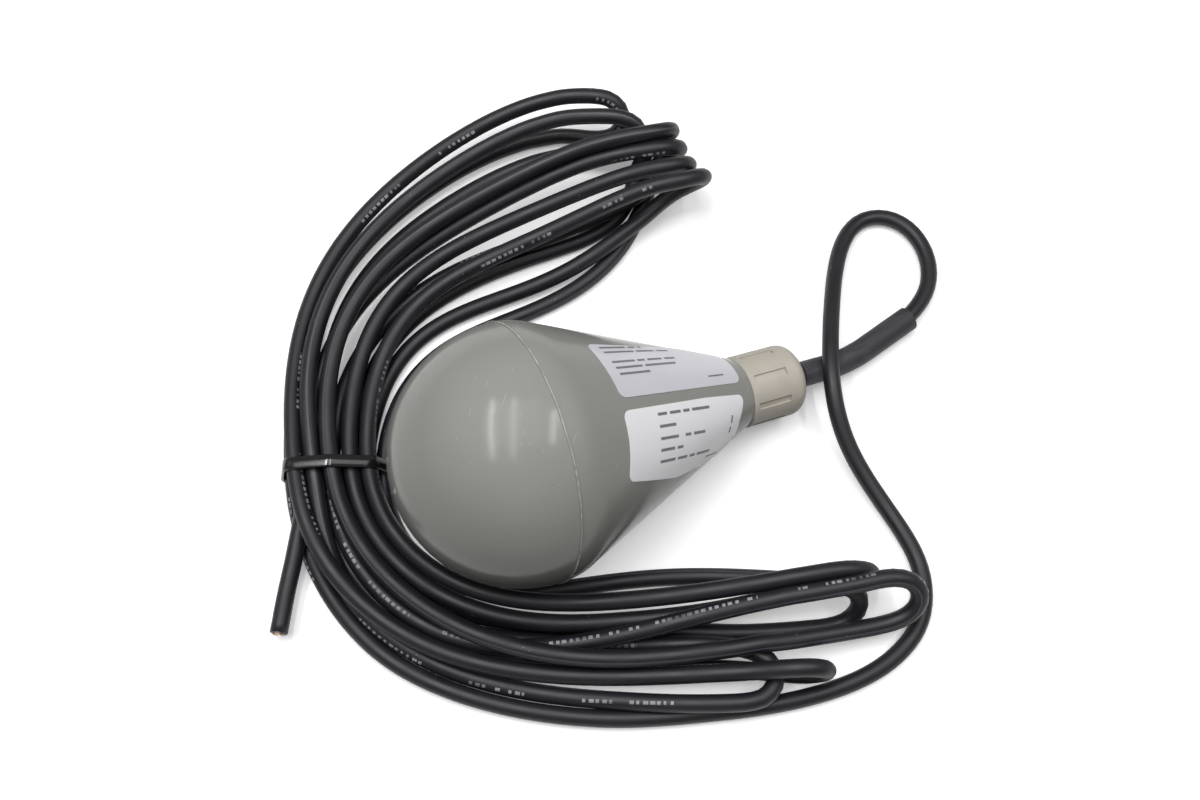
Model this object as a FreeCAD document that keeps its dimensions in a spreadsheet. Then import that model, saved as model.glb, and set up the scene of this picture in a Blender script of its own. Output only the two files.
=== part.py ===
import FreeCAD, Part
import Sketcher
import math
import os
import re
from FreeCAD import Placement, Rotation, Vector

doc = FreeCAD.newDocument("float_switch")
dims = doc.addObject("Spreadsheet::Sheet", "dims")

sizes = {
    # casing: half ball, rounded shoulder and cone, lying with the small end down
    "bulb_r": 50,
    "wall": 3,
    "flash_w": 0.8,
    "flash_h": 0.35,
    "cone_angle": 22,
    "blend_r": 28,
    "shoulder_z": 94,
    "incline_angle": 16.5,
    # cable gland
    "fit_gap": 0.3,
    "run_gap": 0.05,
    "cable_r": 3.5,
    "neck_r": 10.5,
    "neck_len": 17,
    "pocket_r": 7.8,
    "pocket_len": 19,
    "seat_drop": 1.5,
    "web_len": 4,
    "nut_gap": 0.4,
    "nut_r": 14.7,
    "nut_len": 26.5,
    "nut_rim": 0.9,
    "nut_round": 5,
    "nut_end_t": 6.5,
    "groove_w": 2.9,
    "groove_depth": 0.9,
    "groove_len": 15.2,
    "groove_lead": 0.9,
    "groove_count": 8,
    "groove_angle": 7,
    "washer_t": 1.5,
    "nose_r": 6,
    "nose_len": 4.5,
    "nose_edge": 0.8,
    # stickers
    "film_t": 0.2,
    "film_gap": 0.05,
    "film_long": 67,
    "film_high": 25.5,
    "film_corner": 3,
    "film_near": 77.5,
    "film_angle": 2.5,
    "white_offset": 21,
    "silver_offset": -9.2,
    # carrier plate, ballast and screws
    "flange_z": 8,
    "flange_t": 3,
    "flange_step": 1,
    "switch_room": 1.2,
    "ballast_w": 12,
    "ballast_t": 10,
    "post_r": 4.5,
    "post_len": 34,
    "post_angle": 60,
    "screw_r": 2,
    "screw_head_r": 4,
    "screw_head_t": 3,
    "screw_grip_len": 11,
    "cheek_in": 7,
    "cheek_t": 3,
    "cheek_back": 12,
    "cheek_front": 9,
    "cheek_reach": 16.5,
    # pendulum on its pin
    "pivot_drop": 4,
    "pin_r": 2,
    "pin_over": 2.2,
    "clip_r": 4,
    "clip_t": 0.8,
    "hub_r": 8,
    "hub_ecc": 4,
    "hub_w": 8,
    "boss_r": 4.4,
    "arm_t": 5,
    "arm_w": 12,
    "bob_room": 4,
    "bob_r": 9,
    "bob_w": 20,
    "low_angle": 25,
    "high_angle": 10,
    "peg_r": 1.5,
    "peg_reach": 2.5,
    "peg_drop": 10,
    "stop_gap": 0.1,
    # micro switch
    "hub_gap": 0.3,
    "lever_arm": 20,
    "lever_over": 3,
    "lever_t": 0.8,
    "lever_w": 4.5,
    "lever_room": 2.2,
    "eye_r": 1.4,
    "lever_pin_r": 0.6,
    "ear_t": 2.5,
    "ear_r": 1.8,
    "case_high": 15.9,
    "case_thick": 10.3,
    "hinge_inset": 2,
    "plunger_arm": 7.7,
    "plunger_r": 1.2,
    "plunger_len": 6,
    "tip_gap": 0.15,
    "plate_t": 3,
    "plate_gap": 0.1,
    "fix_high": 11,
    "fix_inset": 2.8,
    "fix_pitch": 22.2,
    "fix_r": 1.5,
    "fix_head_r": 2.8,
    "fix_head_t": 2,
    "tab_long": 7,
    "tab_w": 4.8,
    "tab_t": 0.8,
    "tab_room": 0.5,
    "tab_pitch": 7.05,
    # cores of the cable
    "core_r": 1.2,
    "core_ring": 1.6,
    "core_bunch": 2.7,
    "core_tab": 3.7,
    "core_side": 13,
    "core_x": 15,
    "core_y": 14,
    "core_rise": 2,
    "core_pass": 16,
    "core_meet": 40,
    "jacket_z": 60,
    "wire_hole_r": 5.2,
    # free cable, sleeve and tie
    "join_z": 119,
    "sleeve_r": 5.3,
    "sleeve_z": 150,
    "sleeve_share": 0.74,
    "tie_t": 1.3,
    "tie_w": 4.6,
    "tie_head_long": 6.5,
    "tie_head_t": 4.5,
    "tie_head_w": 6,
    "bundle_base": 0.5,
    "bundle_rise": 2,
    # one step of the ground plan that the cable is laid out on
    "plan_step": 1,
}
row = 1
for alias, value in sizes.items():
    dims.set("A%d" % row, alias)
    dims.set("B%d" % row, str(value))
    dims.setAlias("B%d" % row, alias)
    row += 1
doc.recompute()


def bind(text):
    return re.sub(r"[a-z]+(_[a-z]+)*", lambda m: "dims." + m.group(0) if m.group(0) in sizes else m.group(0), text)


def num(text):
    return float(dims.evalExpression(bind(text)))


def drive(thing, prop, text):
    thing.setExpression(prop, bind(text))


# heights along the casing's own axis, and the two cone surfaces
neck_end = "shoulder_z + neck_len"
pocket_z = "shoulder_z + neck_len - pocket_len"
web_z = "shoulder_z + neck_len - pocket_len - seat_drop - web_len"
nut_start = "shoulder_z + nut_gap"
nut_end = "shoulder_z + nut_gap + nut_len"
nut_land = "shoulder_z + nut_gap + nut_len - nut_end_t"
seal_step = "shoulder_z + nut_gap + nut_len - nut_end_t - washer_t - 2 * fit_gap"
nose_end = "shoulder_z + nut_gap + nut_len + nose_len"

# the switch beside the pendulum's hub
pivot_z = "-pivot_drop"
lever_line = "hub_ecc * sin((low_angle - high_angle) / 2) + hub_r + hub_gap"
hinge_x = lever_line + " + lever_t / 2"
hinge_z = "-pivot_drop + hub_ecc - lever_arm"
case_x = hinge_x + " + lever_room"
case_z = hinge_z + " - hinge_inset"
case_long = "(fix_pitch + 2 * fix_inset)"
ballast_z = "flange_z - ballast_t"
tab_spots = ["%s - tab_room - tab_w / 2 - %d * tab_pitch" % (ballast_z, n) for n in (2, 1, 0)]

# ballast ring round the switch, plate on the ring, bob clear of the casing
ballast_in = "(sqrt((%s + case_high)^2 + (case_thick / 2)^2) + switch_room)" % case_x
ballast_out = "(%s + ballast_w)" % ballast_in
post_ring = "(%s + ballast_w / 2)" % ballast_in
flange_r = "(%s - flange_step)" % ballast_out
arm_len = "(bulb_r - wall - pivot_drop - bob_r - bob_room)"


def outer_at(z):
    turn = "blend_r * cos(cone_angle) - (%s - blend_r * sin(cone_angle)) * tan(cone_angle)" % z
    return "bulb_r - blend_r + " + turn


def inner_at(z):
    return outer_at(z) + " - wall / cos(cone_angle)"


# the casing lies on the bulb; its middle stands over the origin
slope = math.radians(num("incline_angle"))
reach = num(nose_end) * math.cos(slope) + num("nose_r") * math.sin(slope)
bulb_centre = Vector((num("bulb_r") - reach) / 2, 0, num("bulb_r"))
along = Vector(math.cos(slope), 0, -math.sin(slope))
upward = Vector(math.sin(slope), 0, math.cos(slope))
pose = Placement(bulb_centre, Rotation(upward, Vector(0, -1, 0), along, "ZXY"))


def plane(body, role):
    for feature in body.Origin.OriginFeatures:
        if feature.Role == role:
            return feature


def sketch_in(body, role, lift=None):
    sketch = body.newObject("Sketcher::SketchObject", body.Name + "_sketch")
    sketch.AttachmentSupport = [(plane(body, role), "")]
    sketch.MapMode = "FlatFace"
    if lift:
        drive(sketch, "AttachmentOffset.Base.z", lift)
    return sketch


def pin_point(sketch, element, end, x_text, y_text):
    for kind, axis, text in (("DistanceX", -2, x_text), ("DistanceY", -1, y_text)):
        if text is None:
            continue
        if text == "0":
            sketch.addConstraint(Sketcher.Constraint("PointOnObject", element, end, axis))
            continue
        index = sketch.addConstraint(Sketcher.Constraint(kind, -1, 1, element, end, num(text)))
        drive(sketch, "Constraints[%d]" % index, text)


def outline(sketch, corners, arcs=None):
    # corners hold x, y and which of them is fixed; arcs hold centre, radius and sense by first corner
    arcs = arcs or {}
    count = len(corners)
    spots = [Vector(num(c[0]), num(c[1]), 0) for c in corners]
    first = []
    last = []
    for i in range(count):
        a = spots[i]
        b = spots[(i + 1) % count]
        if i in arcs:
            centre = Vector(num(arcs[i][0]), num(arcs[i][1]), 0)
            turn = [math.atan2(p.y - centre.y, p.x - centre.x) for p in (a, b)]
            if not arcs[i][3]:
                turn.reverse()
            circle = Part.Circle(centre, Vector(0, 0, 1), num(arcs[i][2]))
            sketch.addGeometry(Part.ArcOfCircle(circle, turn[0], turn[1]))
            first.append(1 if arcs[i][3] else 2)
            last.append(2 if arcs[i][3] else 1)
        else:
            sketch.addGeometry(Part.LineSegment(a, b))
            first.append(1)
            last.append(2)
    for i in range(count):
        after = (i + 1) % count
        sketch.addConstraint(Sketcher.Constraint("Coincident", i, last[i], after, first[after]))
    for i in range(count):
        fixed = corners[i][2] if len(corners[i]) > 2 else "xy"
        x_text = corners[i][0] if "x" in fixed else None
        y_text = corners[i][1] if "y" in fixed else None
        pin_point(sketch, i, first[i], x_text, y_text)
    for i in arcs:
        pin_point(sketch, i, 3, arcs[i][0], arcs[i][1])
        index = sketch.addConstraint(Sketcher.Constraint("Radius", i, num(arcs[i][2])))
        drive(sketch, "Constraints[%d]" % index, arcs[i][2])


def turned(name, corners, arcs=None):
    body = doc.addObject("PartDesign::Body", name)
    sketch = sketch_in(body, "XZ_Plane")
    outline(sketch, corners, arcs)
    turn = body.newObject("PartDesign::Revolution", name + "_turn")
    turn.Profile = sketch
    turn.ReferenceAxis = (sketch, ["V_Axis"])
    turn.Angle = 360
    sketch.Visibility = False
    doc.recompute()
    return body


def settle(thing, x, y, z):
    for axis, text in zip("xyz", (x, y, z)):
        drive(thing, "Placement.Base." + axis, text)


def box(name, long, wide, high, x, y, z):
    thing = doc.addObject("Part::Box", name)
    drive(thing, "Length", long)
    drive(thing, "Width", wide)
    drive(thing, "Height", high)
    settle(thing, x, y, z)
    return thing


facing = {
    "x": Rotation(Vector(0, 1, 0), 90),
    "y": Rotation(Vector(1, 0, 0), -90),
    "z": Rotation(),
}


def rod(name, radius, length, way, x, y, z):
    thing = doc.addObject("Part::Cylinder", name)
    drive(thing, "Radius", radius)
    drive(thing, "Height", length)
    thing.Placement = Placement(Vector(), facing[way])
    settle(thing, x, y, z)
    return thing


def lone_rod(name, radius, length, way, x, y, z):
    thing = doc.addObject("Part::Cylinder", name)
    drive(thing, "Radius", radius)
    drive(thing, "Height", length)
    keep(thing, name, pose * Placement(Vector(num(x), num(y), num(z)), facing[way]))


def joined(name, parts):
    thing = doc.addObject("Part::MultiFuse", name)
    thing.Shapes = parts
    return thing


def less(name, base, tools):
    thing = doc.addObject("Part::Cut", name)
    thing.Base = base
    thing.Tool = tools[0] if len(tools) == 1 else joined(name + "_cuts", tools)
    return thing


nodes = []


def keep(thing, name, placement=pose):
    thing.Label = name
    thing.Placement = placement
    nodes.append((name, thing))
    return thing


# half ball with the weld's flash at its rim
bulb = turned("bulb_shell", [
    ("0", "-bulb_r", "x"),
    ("sqrt(bulb_r * bulb_r - flash_w * flash_w)", "-flash_w", "y"),
    ("bulb_r + flash_h", "-flash_w"),
    ("bulb_r + flash_h", "0"),
    ("bulb_r - wall", "0", "y"),
    ("0", "-(bulb_r - wall)", "x"),
], {
    0: ("0", "0", "bulb_r", True),
    4: ("0", "0", "bulb_r - wall", False),
})
keep(bulb, "bulb_shell")

# cone with shoulder, neck, seal pocket and cable bore
blend_x = "bulb_r - blend_r"
hood = turned("cone_hood", [
    ("bulb_r", "0", "y"),
    ("bulb_r - blend_r + blend_r * cos(cone_angle)", "blend_r * sin(cone_angle)", "y"),
    (outer_at("shoulder_z"), "shoulder_z"),
    ("neck_r", "shoulder_z"),
    ("neck_r", neck_end),
    ("pocket_r", neck_end),
    ("pocket_r", pocket_z),
    ("cable_r + fit_gap", pocket_z + " - seat_drop"),
    ("cable_r + fit_gap", web_z),
    (inner_at("(%s)" % web_z), web_z),
    ("bulb_r - blend_r + (blend_r - wall) * cos(cone_angle)", "(blend_r - wall) * sin(cone_angle)", "y"),
    ("bulb_r - wall", "0", "y"),
], {
    0: (blend_x, "0", "blend_r", True),
    10: (blend_x, "0", "blend_r - wall", False),
})
post_z = "flange_z + flange_t"
post_spots = []
for n in range(3):
    angle = "(post_angle + %d)" % (120 * n)
    post_spots.append(("%s * cos(%s)" % (post_ring, angle), "%s * sin(%s)" % (post_ring, angle)))
posts = [rod("post_%d" % n, "post_r", "post_len", "z", x, y, post_z) for n, (x, y) in enumerate(post_spots)]
core = doc.addObject("Part::Cone", "post_limit")
drive(core, "Radius1", outer_at("(flange_z + flange_t)") + " - wall / 2")
drive(core, "Radius2", outer_at("(flange_z + flange_t + post_len)") + " - wall / 2")
drive(core, "Height", "post_len")
settle(core, "0", "0", post_z)
inside_posts = doc.addObject("Part::MultiCommon", "posts_inside")
inside_posts.Shapes = [joined("posts_all", posts), core]
pilots = []
for n, (x, y) in enumerate(post_spots):
    pilots.append(rod("pilot_%d" % n, "screw_r + fit_gap", "screw_grip_len + 1", "z", x, y, post_z))
keep(less("cone_shell", joined("cone_raw", [hood, inside_posts]), pilots), "cone_shell")

# cap nut with eight grooves
nut = turned("gland_nut", [
    ("neck_r + fit_gap", nut_start),
    ("nut_r - nut_rim", nut_start),
    ("nut_r", nut_start + " + nut_rim"),
    ("nut_r", nut_end + " - nut_round", "y"),
    ("nut_r - nut_round", nut_end, "x"),
    ("nose_r + fit_gap", nut_end),
    ("nose_r + fit_gap", nut_land),
    ("neck_r + fit_gap", nut_land),
], {3: ("nut_r - nut_round", nut_end + " - nut_round", "nut_round", True)})
plain_volume = nut.Shape.Volume
slot = sketch_in(nut, "XY_Plane", nut_start + " + nut_rim + groove_lead")
outline(slot, [
    ("nut_r - groove_depth", "-groove_w / 2"),
    ("nut_r + groove_depth", "-groove_w / 2"),
    ("nut_r + groove_depth", "groove_w / 2"),
    ("nut_r - groove_depth", "groove_w / 2"),
])
groove = nut.newObject("PartDesign::Pocket", "nut_groove")
groove.Profile = slot
drive(groove, "Length", "groove_len")
groove.Reversed = True
doc.recompute()
ring = nut.newObject("PartDesign::PolarPattern", "nut_grooves")
ring.Originals = [groove]
ring.Axis = (slot, ["N_Axis"])
ring.Angle = 360
drive(ring, "Occurrences", "groove_count")
nut.Tip = ring
doc.recompute()
cut_share = (plain_volume - nut.Shape.Volume) / num("groove_count * groove_w * groove_depth * groove_len")
print("nut grooves cut, share of plain slots %.2f" % cut_share)
keep(nut, "gland_nut", pose * Placement(Vector(), Rotation(Vector(0, 0, 1), num("groove_angle"))))

# rubber bush with its nose, and the slip washer
seal = turned("gland_seal", [
    ("cable_r + fit_gap", pocket_z + " + fit_gap"),
    ("pocket_r - fit_gap", pocket_z + " + fit_gap"),
    ("pocket_r - fit_gap", seal_step),
    ("nose_r", seal_step),
    ("nose_r", nose_end + " - nose_edge"),
    ("nose_r - nose_edge", nose_end),
    ("cable_r + fit_gap", nose_end),
])
keep(seal, "gland_seal")
washer = turned("gland_washer", [
    ("nose_r + fit_gap", seal_step + " + fit_gap"),
    ("neck_r", seal_step + " + fit_gap"),
    ("neck_r", seal_step + " + fit_gap + washer_t"),
    ("nose_r + fit_gap", seal_step + " + fit_gap + washer_t"),
])
keep(washer, "gland_washer")


# stickers wrapped on the cone, drawn on its unrolled sheet
lean = math.radians(num("cone_angle"))
apex = num("(%s) / tan(cone_angle)" % outer_at("0"))


def cone_between(low, high, lift):
    grow = lift / math.cos(lean)
    wide = (apex - low) * math.tan(lean) + grow
    slim = (apex - high) * math.tan(lean) + grow
    return Part.makeCone(wide, slim, high - low, Vector(0, 0, low))


def wrapped(across, aside):
    slant = math.hypot(across, aside)
    turn = math.atan2(aside, across) / math.sin(lean)
    radial = Vector(math.cos(turn), math.sin(turn), 0)
    spot = radial * (slant * math.sin(lean)) + Vector(0, 0, apex - slant * math.cos(lean))
    normal = radial * math.cos(lean) + Vector(0, 0, math.sin(lean))
    return spot, normal


def sticker(name, middle_aside):
    low = num("blend_r * sin(cone_angle)")
    high = num("shoulder_z")
    layer = cone_between(low, high, num("film_gap + film_t")).cut(cone_between(low, high, num("film_gap")))
    half_long = num("film_long / 2 - film_corner")
    half_high = num("film_high / 2 - film_corner")
    corner = num("film_corner")
    tilt = Rotation(Vector(0, 0, 1), num("film_angle"))
    inside = []
    outside = []
    for n, (sx, sy) in enumerate(((1, 1), (-1, 1), (-1, -1), (1, -1))):
        for step in range(5):
            turn = math.radians(90 * n + 22.5 * step)
            flat = Vector(sx * half_long + corner * math.cos(turn), sy * half_high + corner * math.sin(turn), 0)
            flat = tilt.multVec(flat) + Vector(num("film_near"), num(middle_aside), 0)
            spot, normal = wrapped(flat.x, flat.y)
            inside.append(spot - normal * num("blend_r / 5"))
            outside.append(spot + normal * num("blend_r / 2"))
    faces = []
    count = len(inside)
    hubs = [sum(ring, Vector()) * (1.0 / count) for ring in (inside, outside)]
    for n in range(count):
        after = (n + 1) % count
        quads = [
            (inside[n], inside[after], outside[after]),
            (inside[n], outside[after], outside[n]),
            (hubs[0], inside[after], inside[n]),
            (hubs[1], outside[n], outside[after]),
        ]
        for corner_set in quads:
            faces.append(Part.Face(Part.makePolygon(list(corner_set) + [corner_set[0]])))
    punch = Part.Solid(Part.Shell(faces))
    if punch.Volume < 0:
        punch.reverse()
    film = doc.addObject("Part::Feature", name)
    film.Shape = layer.common(punch)
    keep(film, name)


sticker("label_white", "white_offset")
sticker("label_silver", "silver_offset")

# carrier: plate, cheeks, stop pegs and the switch's side plate
cheek_high = "cheek_reach + flange_z + flange_t / 2"
cheek_long = "cheek_back + cheek_front"
carrier_parts = [
    rod("carrier_plate", flange_r, "flange_t", "z", "0", "0", "flange_z"),
    box("cheek_a", cheek_long, "cheek_t", cheek_high, "-cheek_back", "cheek_in", "-cheek_reach"),
    box("cheek_b", cheek_long, "cheek_t", cheek_high, "-cheek_back", "-cheek_in - cheek_t", "-cheek_reach"),
    box("side_plate", case_x + " + case_high - cheek_front + cheek_t - 1", "plate_t",
        "flange_z + flange_t / 2 - (%s)" % case_z, "cheek_front - cheek_t",
        "case_thick / 2 + plate_gap", case_z),
]
peg_z = "-pivot_drop - peg_drop"
peg_low = "-(peg_drop * tan(low_angle) + (arm_t / 2 + peg_r + stop_gap) / cos(low_angle))"
peg_high = "peg_drop * tan(high_angle) + (arm_t / 2 + peg_r + stop_gap) / cos(high_angle)"
peg_len = "peg_reach + cheek_t / 2"
for side, start in (("a", "cheek_in - peg_reach"), ("b", "-cheek_in - cheek_t / 2")):
    for end, x in (("low", peg_low), ("high", peg_high)):
        carrier_parts.append(rod("peg_%s_%s" % (side, end), "peg_r", peg_len, "y", x, start, peg_z))
fix_x = case_x + " + fix_high"
fix_spots = (case_z + " + fix_inset", case_z + " + fix_inset + fix_pitch")
carrier_cuts = [
    rod("pin_hole", "pin_r + run_gap", "4 * cheek_in", "y", "0", "-2 * cheek_in", pivot_z),
    rod("wire_hole", "wire_hole_r", "3 * flange_t", "z", "core_x", "-core_y", "flange_z - flange_t"),
]
for n, (x, y) in enumerate(post_spots):
    carrier_cuts.append(rod("plate_hole_%d" % n, "screw_r + fit_gap", "3 * flange_t", "z", x, y, "flange_z - flange_t"))
for n, z in enumerate(fix_spots):
    carrier_cuts.append(rod("side_hole_%d" % n, "fix_r + fit_gap", "case_thick", "y", fix_x, "0", z))
keep(less("switch_carrier", joined("carrier_raw", carrier_parts), carrier_cuts), "switch_carrier")

# ballast ring and the three long screws
ring_cuts = [rod("ring_bore", ballast_in, "3 * ballast_t", "z", "0", "0", ballast_z + " - ballast_t")]
for n, (x, y) in enumerate(post_spots):
    ring_cuts.append(rod("ring_hole_%d" % n, "screw_r + fit_gap", "3 * ballast_t", "z", x, y, ballast_z + " - ballast_t"))
ring_disc = rod("ring_disc", ballast_out, "ballast_t", "z", "0", "0", ballast_z)
keep(less("ballast_ring", ring_disc, ring_cuts), "ballast_ring")
screws = []
shank = "ballast_t + flange_t + screw_grip_len"
for n, (x, y) in enumerate(post_spots):
    screws.append(rod("screw_shank_%d" % n, "screw_r", shank, "z", x, y, ballast_z))
    head_z = ballast_z + " - screw_head_t"
    screws.append(rod("screw_head_%d" % n, "screw_head_r", "screw_head_t", "z", x, y, head_z))
keep(joined("carrier_screws", screws), "carrier_screws")

# pin and its two rings
pin_half = "cheek_in + cheek_t + pin_over"
lone_rod("pivot_pin", "pin_r", "2 * (%s)" % pin_half, "y", "0", "-(%s)" % pin_half, pivot_z)
clips = []
for side, y in (("a", "cheek_in + cheek_t + fit_gap"), ("b", "-cheek_in - cheek_t - fit_gap - clip_t")):
    clips.append(rod("clip_" + side, "clip_r", "clip_t", "y", "0", y, pivot_z))
clip_bore = rod("clip_bore", "pin_r + run_gap", "2 * (%s)" % pin_half, "y", "0", "-(%s)" % pin_half, pivot_z)
keep(less("pivot_clips", joined("clips_raw", clips), [clip_bore]), "pivot_clips")

# pendulum: bob, arm, boss and eccentric hub in one casting, drawn hanging, then laid on its lower stop
boss_half = "cheek_in - fit_gap"
pendulum_parts = [
    rod("hub", "hub_r", "hub_w", "y", "0", "-hub_w / 2", "hub_ecc"),
    rod("boss", "boss_r", "2 * (%s)" % boss_half, "y", "0", "-(%s)" % boss_half, "0"),
    box("arm", "arm_t", "arm_w", arm_len, "-arm_t / 2", "-arm_w / 2", "-" + arm_len),
    rod("bob", "bob_r", "bob_w", "y", "0", "-bob_w / 2", "-" + arm_len),
]
swing_bore = rod("swing_bore", "pin_r + run_gap", "2 * bob_w", "y", "0", "-bob_w", "0")
pendulum = less("pendulum_weight", joined("pendulum_raw", pendulum_parts), [swing_bore])
swung = Placement(Vector(0, 0, num(pivot_z)), Rotation(Vector(0, 1, 0), num("low_angle")))
keep(pendulum, "pendulum_weight", pose * swung)

# switch body with hinge ears, lever pin, lever, plunger, tabs and screws
ear_y = "case_thick / 2 - ear_t"
ear_long = case_x + " - (%s) + 1" % hinge_x
case_parts = [box("case_block", "case_high", "case_thick", case_long, case_x, "-case_thick / 2", case_z)]
for side, y in (("a", ear_y), ("b", "-case_thick / 2")):
    case_parts.append(rod("ear_eye_" + side, "ear_r", "ear_t", "y", hinge_x, y, hinge_z))
    case_parts.append(box("ear_foot_" + side, ear_long, "ear_t", "2 * ear_r", hinge_x, y, hinge_z + " - ear_r"))
plunger_z = hinge_z + " + plunger_arm"
rest_sine = "hub_ecc * (sin(low_angle) - sin((low_angle - high_angle) / 2)) / lever_arm"
lean_text = "asin(%s)" % rest_sine
tip_x = hinge_x + " + lever_t / 2 + plunger_arm * tan(%s) + tip_gap" % lean_text
case_cuts = [
    rod("ear_bore", "lever_pin_r + run_gap", "2 * case_thick", "y", hinge_x, "-case_thick", hinge_z),
    rod("plunger_bore", "plunger_r + run_gap", "plunger_len + fit_gap", "x", tip_x, "0", plunger_z),
]
for n, z in enumerate(fix_spots):
    case_cuts.append(rod("case_hole_%d" % n, "fix_r + fit_gap", "2 * case_thick", "y", fix_x, "-case_thick", z))
keep(less("switch_case", joined("case_raw", case_parts), case_cuts), "switch_case")

lone_rod("lever_pin", "lever_pin_r", "case_thick", "y", hinge_x, "-case_thick / 2", hinge_z)

lever_parts = [
    rod("eye", "eye_r", "lever_w", "y", "0", "-lever_w / 2", "0"),
    box("strip", "lever_t", "lever_w", "lever_arm + lever_over", "-lever_t / 2", "-lever_w / 2", "0"),
]
eye_bore = rod("eye_bore", "lever_pin_r + run_gap", "2 * lever_w", "y", "0", "-lever_w", "0")
lever = less("switch_lever", joined("lever_raw", lever_parts), [eye_bore])
leaned = Placement(Vector(num(hinge_x), 0, num(hinge_z)), Rotation(Vector(0, 1, 0), num(lean_text)))
keep(lever, "switch_lever", pose * leaned)

lone_rod("switch_plunger", "plunger_r", "plunger_len", "x", tip_x, "0", plunger_z)

tabs = []
tab_x = case_x + " + case_high"
for n, tab_z in enumerate(tab_spots):
    tabs.append(box("tab_%d" % n, "tab_long", "tab_t", "tab_w", tab_x, "-tab_t / 2", tab_z + " - tab_w / 2"))
keep(joined("switch_terminals", tabs), "switch_terminals")

fixings = []
fix_len = "case_thick + plate_gap + plate_t + fix_r"
for n, z in enumerate(fix_spots):
    fixings.append(rod("fix_shank_%d" % n, "fix_r", fix_len, "y", fix_x, "-case_thick / 2", z))
    fixings.append(rod("fix_head_%d" % n, "fix_head_r", "fix_head_t", "y", fix_x, "-case_thick / 2 - fix_head_t", z))
keep(joined("switch_screws", fixings), "switch_screws")


# a path of straight runs joined by tangent arcs
def path_of(points, name):
    spots = [Vector(*p) for p in points]
    edges = []
    radii = []
    start = spots[0]
    for before, here, after in zip(spots, spots[1:], spots[2:]):
        back = (before - here).normalize()
        ahead = (after - here).normalize()
        half_turn = (math.pi - back.getAngle(ahead)) / 2
        cut = 0.45 * min((before - here).Length, (after - here).Length)
        radius = cut / math.tan(half_turn)
        inward = (back + ahead).normalize()
        centre = here + inward * (radius / math.cos(half_turn))
        leave = here + back * cut
        join = here + ahead * cut
        middle = centre - inward * radius
        edges.append(Part.LineSegment(start, leave).toShape())
        edges.append(Part.Arc(leave, middle, join).toShape())
        radii.append(radius)
        start = join
    edges.append(Part.LineSegment(start, spots[-1]).toShape())
    wire = Part.Wire(edges)
    print("%s: length %.0f, radii %s" % (name, wire.Length, " ".join("%.0f" % r for r in radii)))
    return wire


def tube_on(wire, radius):
    way = wire.Edges[0].tangentAt(wire.Edges[0].FirstParameter)
    start = wire.Edges[0].valueAt(wire.Edges[0].FirstParameter)
    loop = Part.Wire(Part.makeCircle(radius, start, way))
    solid = wire.makePipeShell([loop], True, True)
    share = solid.Volume / (math.pi * radius * radius * wire.Length)
    print("   volume share %.3f" % share)
    return solid


def hold(name, shape, placement):
    thing = doc.addObject("Part::Feature", name)
    thing.Shape = shape
    keep(thing, name, placement)


# stretch of cable inside the gland, straight on the axis
lone_rod("inner_cable", "cable_r", "join_z - jacket_z", "z", "0", "0", "jacket_z")

# three cores from the tabs, past the ring, through the plate to the stripped end
for n, name in enumerate(("core_brown", "core_blue", "core_black")):
    tab_z = num(tab_spots[n])
    core_start = num(tab_x + " + core_tab")
    turn = math.radians(90 + 120 * n)
    aside = num("core_ring") * math.cos(turn)
    over = num("core_ring") * math.sin(turn)
    leg_x = num("core_x + core_bunch * %.6f" % math.cos(turn))
    leg_y = num("-core_y + core_bunch * %.6f" % math.sin(turn))
    hold(name, tube_on(path_of([
        (core_start, -num("tab_t / 2 + fit_gap"), tab_z),
        (core_start, -num("core_side"), tab_z),
        (leg_x, leg_y, tab_z + num("core_rise")),
        (leg_x, leg_y, num("core_pass")),
        (aside, over, num("core_meet")),
        (aside, over, num("jacket_z")),
    ], name), num("core_r")), pose)


# free cable on the table: out of the nut, round a loop, over itself and into the bundle
def on_axis(distance):
    spot = pose.multVec(Vector(0, 0, distance))
    return (spot.x, spot.y, spot.z)


def laid(*spots):
    return [tuple(c * num("plan_step") for c in spot) for spot in spots]


table = Placement()
lead_start = on_axis(num("join_z"))
sleeve_bend = on_axis(num("sleeve_z"))
sleeve_aim = laid((153.5, 11.5, 5.4))[0]
lead_route = [lead_start, sleeve_bend, sleeve_aim] + laid(
    (165.8, 32, 3.7),
    (163.8, 54, 3.7),
    (144.5, 64, 3.7),
    (126, 46, 5.5),
    (109, 20, 14.5),
    (93, -8, 22.5),
    (89, -33, 11),
    (95, -63, 3.7),
    (99, -92, 3.7),
    (81, -117.5, 3.7),
    (56, -112, 6),
)
hold("cable_lead", tube_on(path_of(lead_route, "cable_lead"), num("cable_r")), table)

sleeve_start = on_axis(num(nose_end + " + fit_gap"))
share = num("sleeve_share")
sleeve_end = tuple(a + (b - a) * share for a, b in zip(sleeve_bend, sleeve_aim))
sleeve_path = path_of([sleeve_start, sleeve_bend, sleeve_end], "bend_sleeve")
sleeve = tube_on(sleeve_path, num("sleeve_r")).cut(tube_on(sleeve_path, num("cable_r + fit_gap")))
hold("bend_sleeve", sleeve, table)

tail_route = laid((-123.5, 33, 8), (-129.5, 12, 8.5), (-148.6, -19.8, 3.7))
hold("cable_tail", tube_on(path_of(tail_route, "cable_tail"), num("cable_r")), table)

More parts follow.
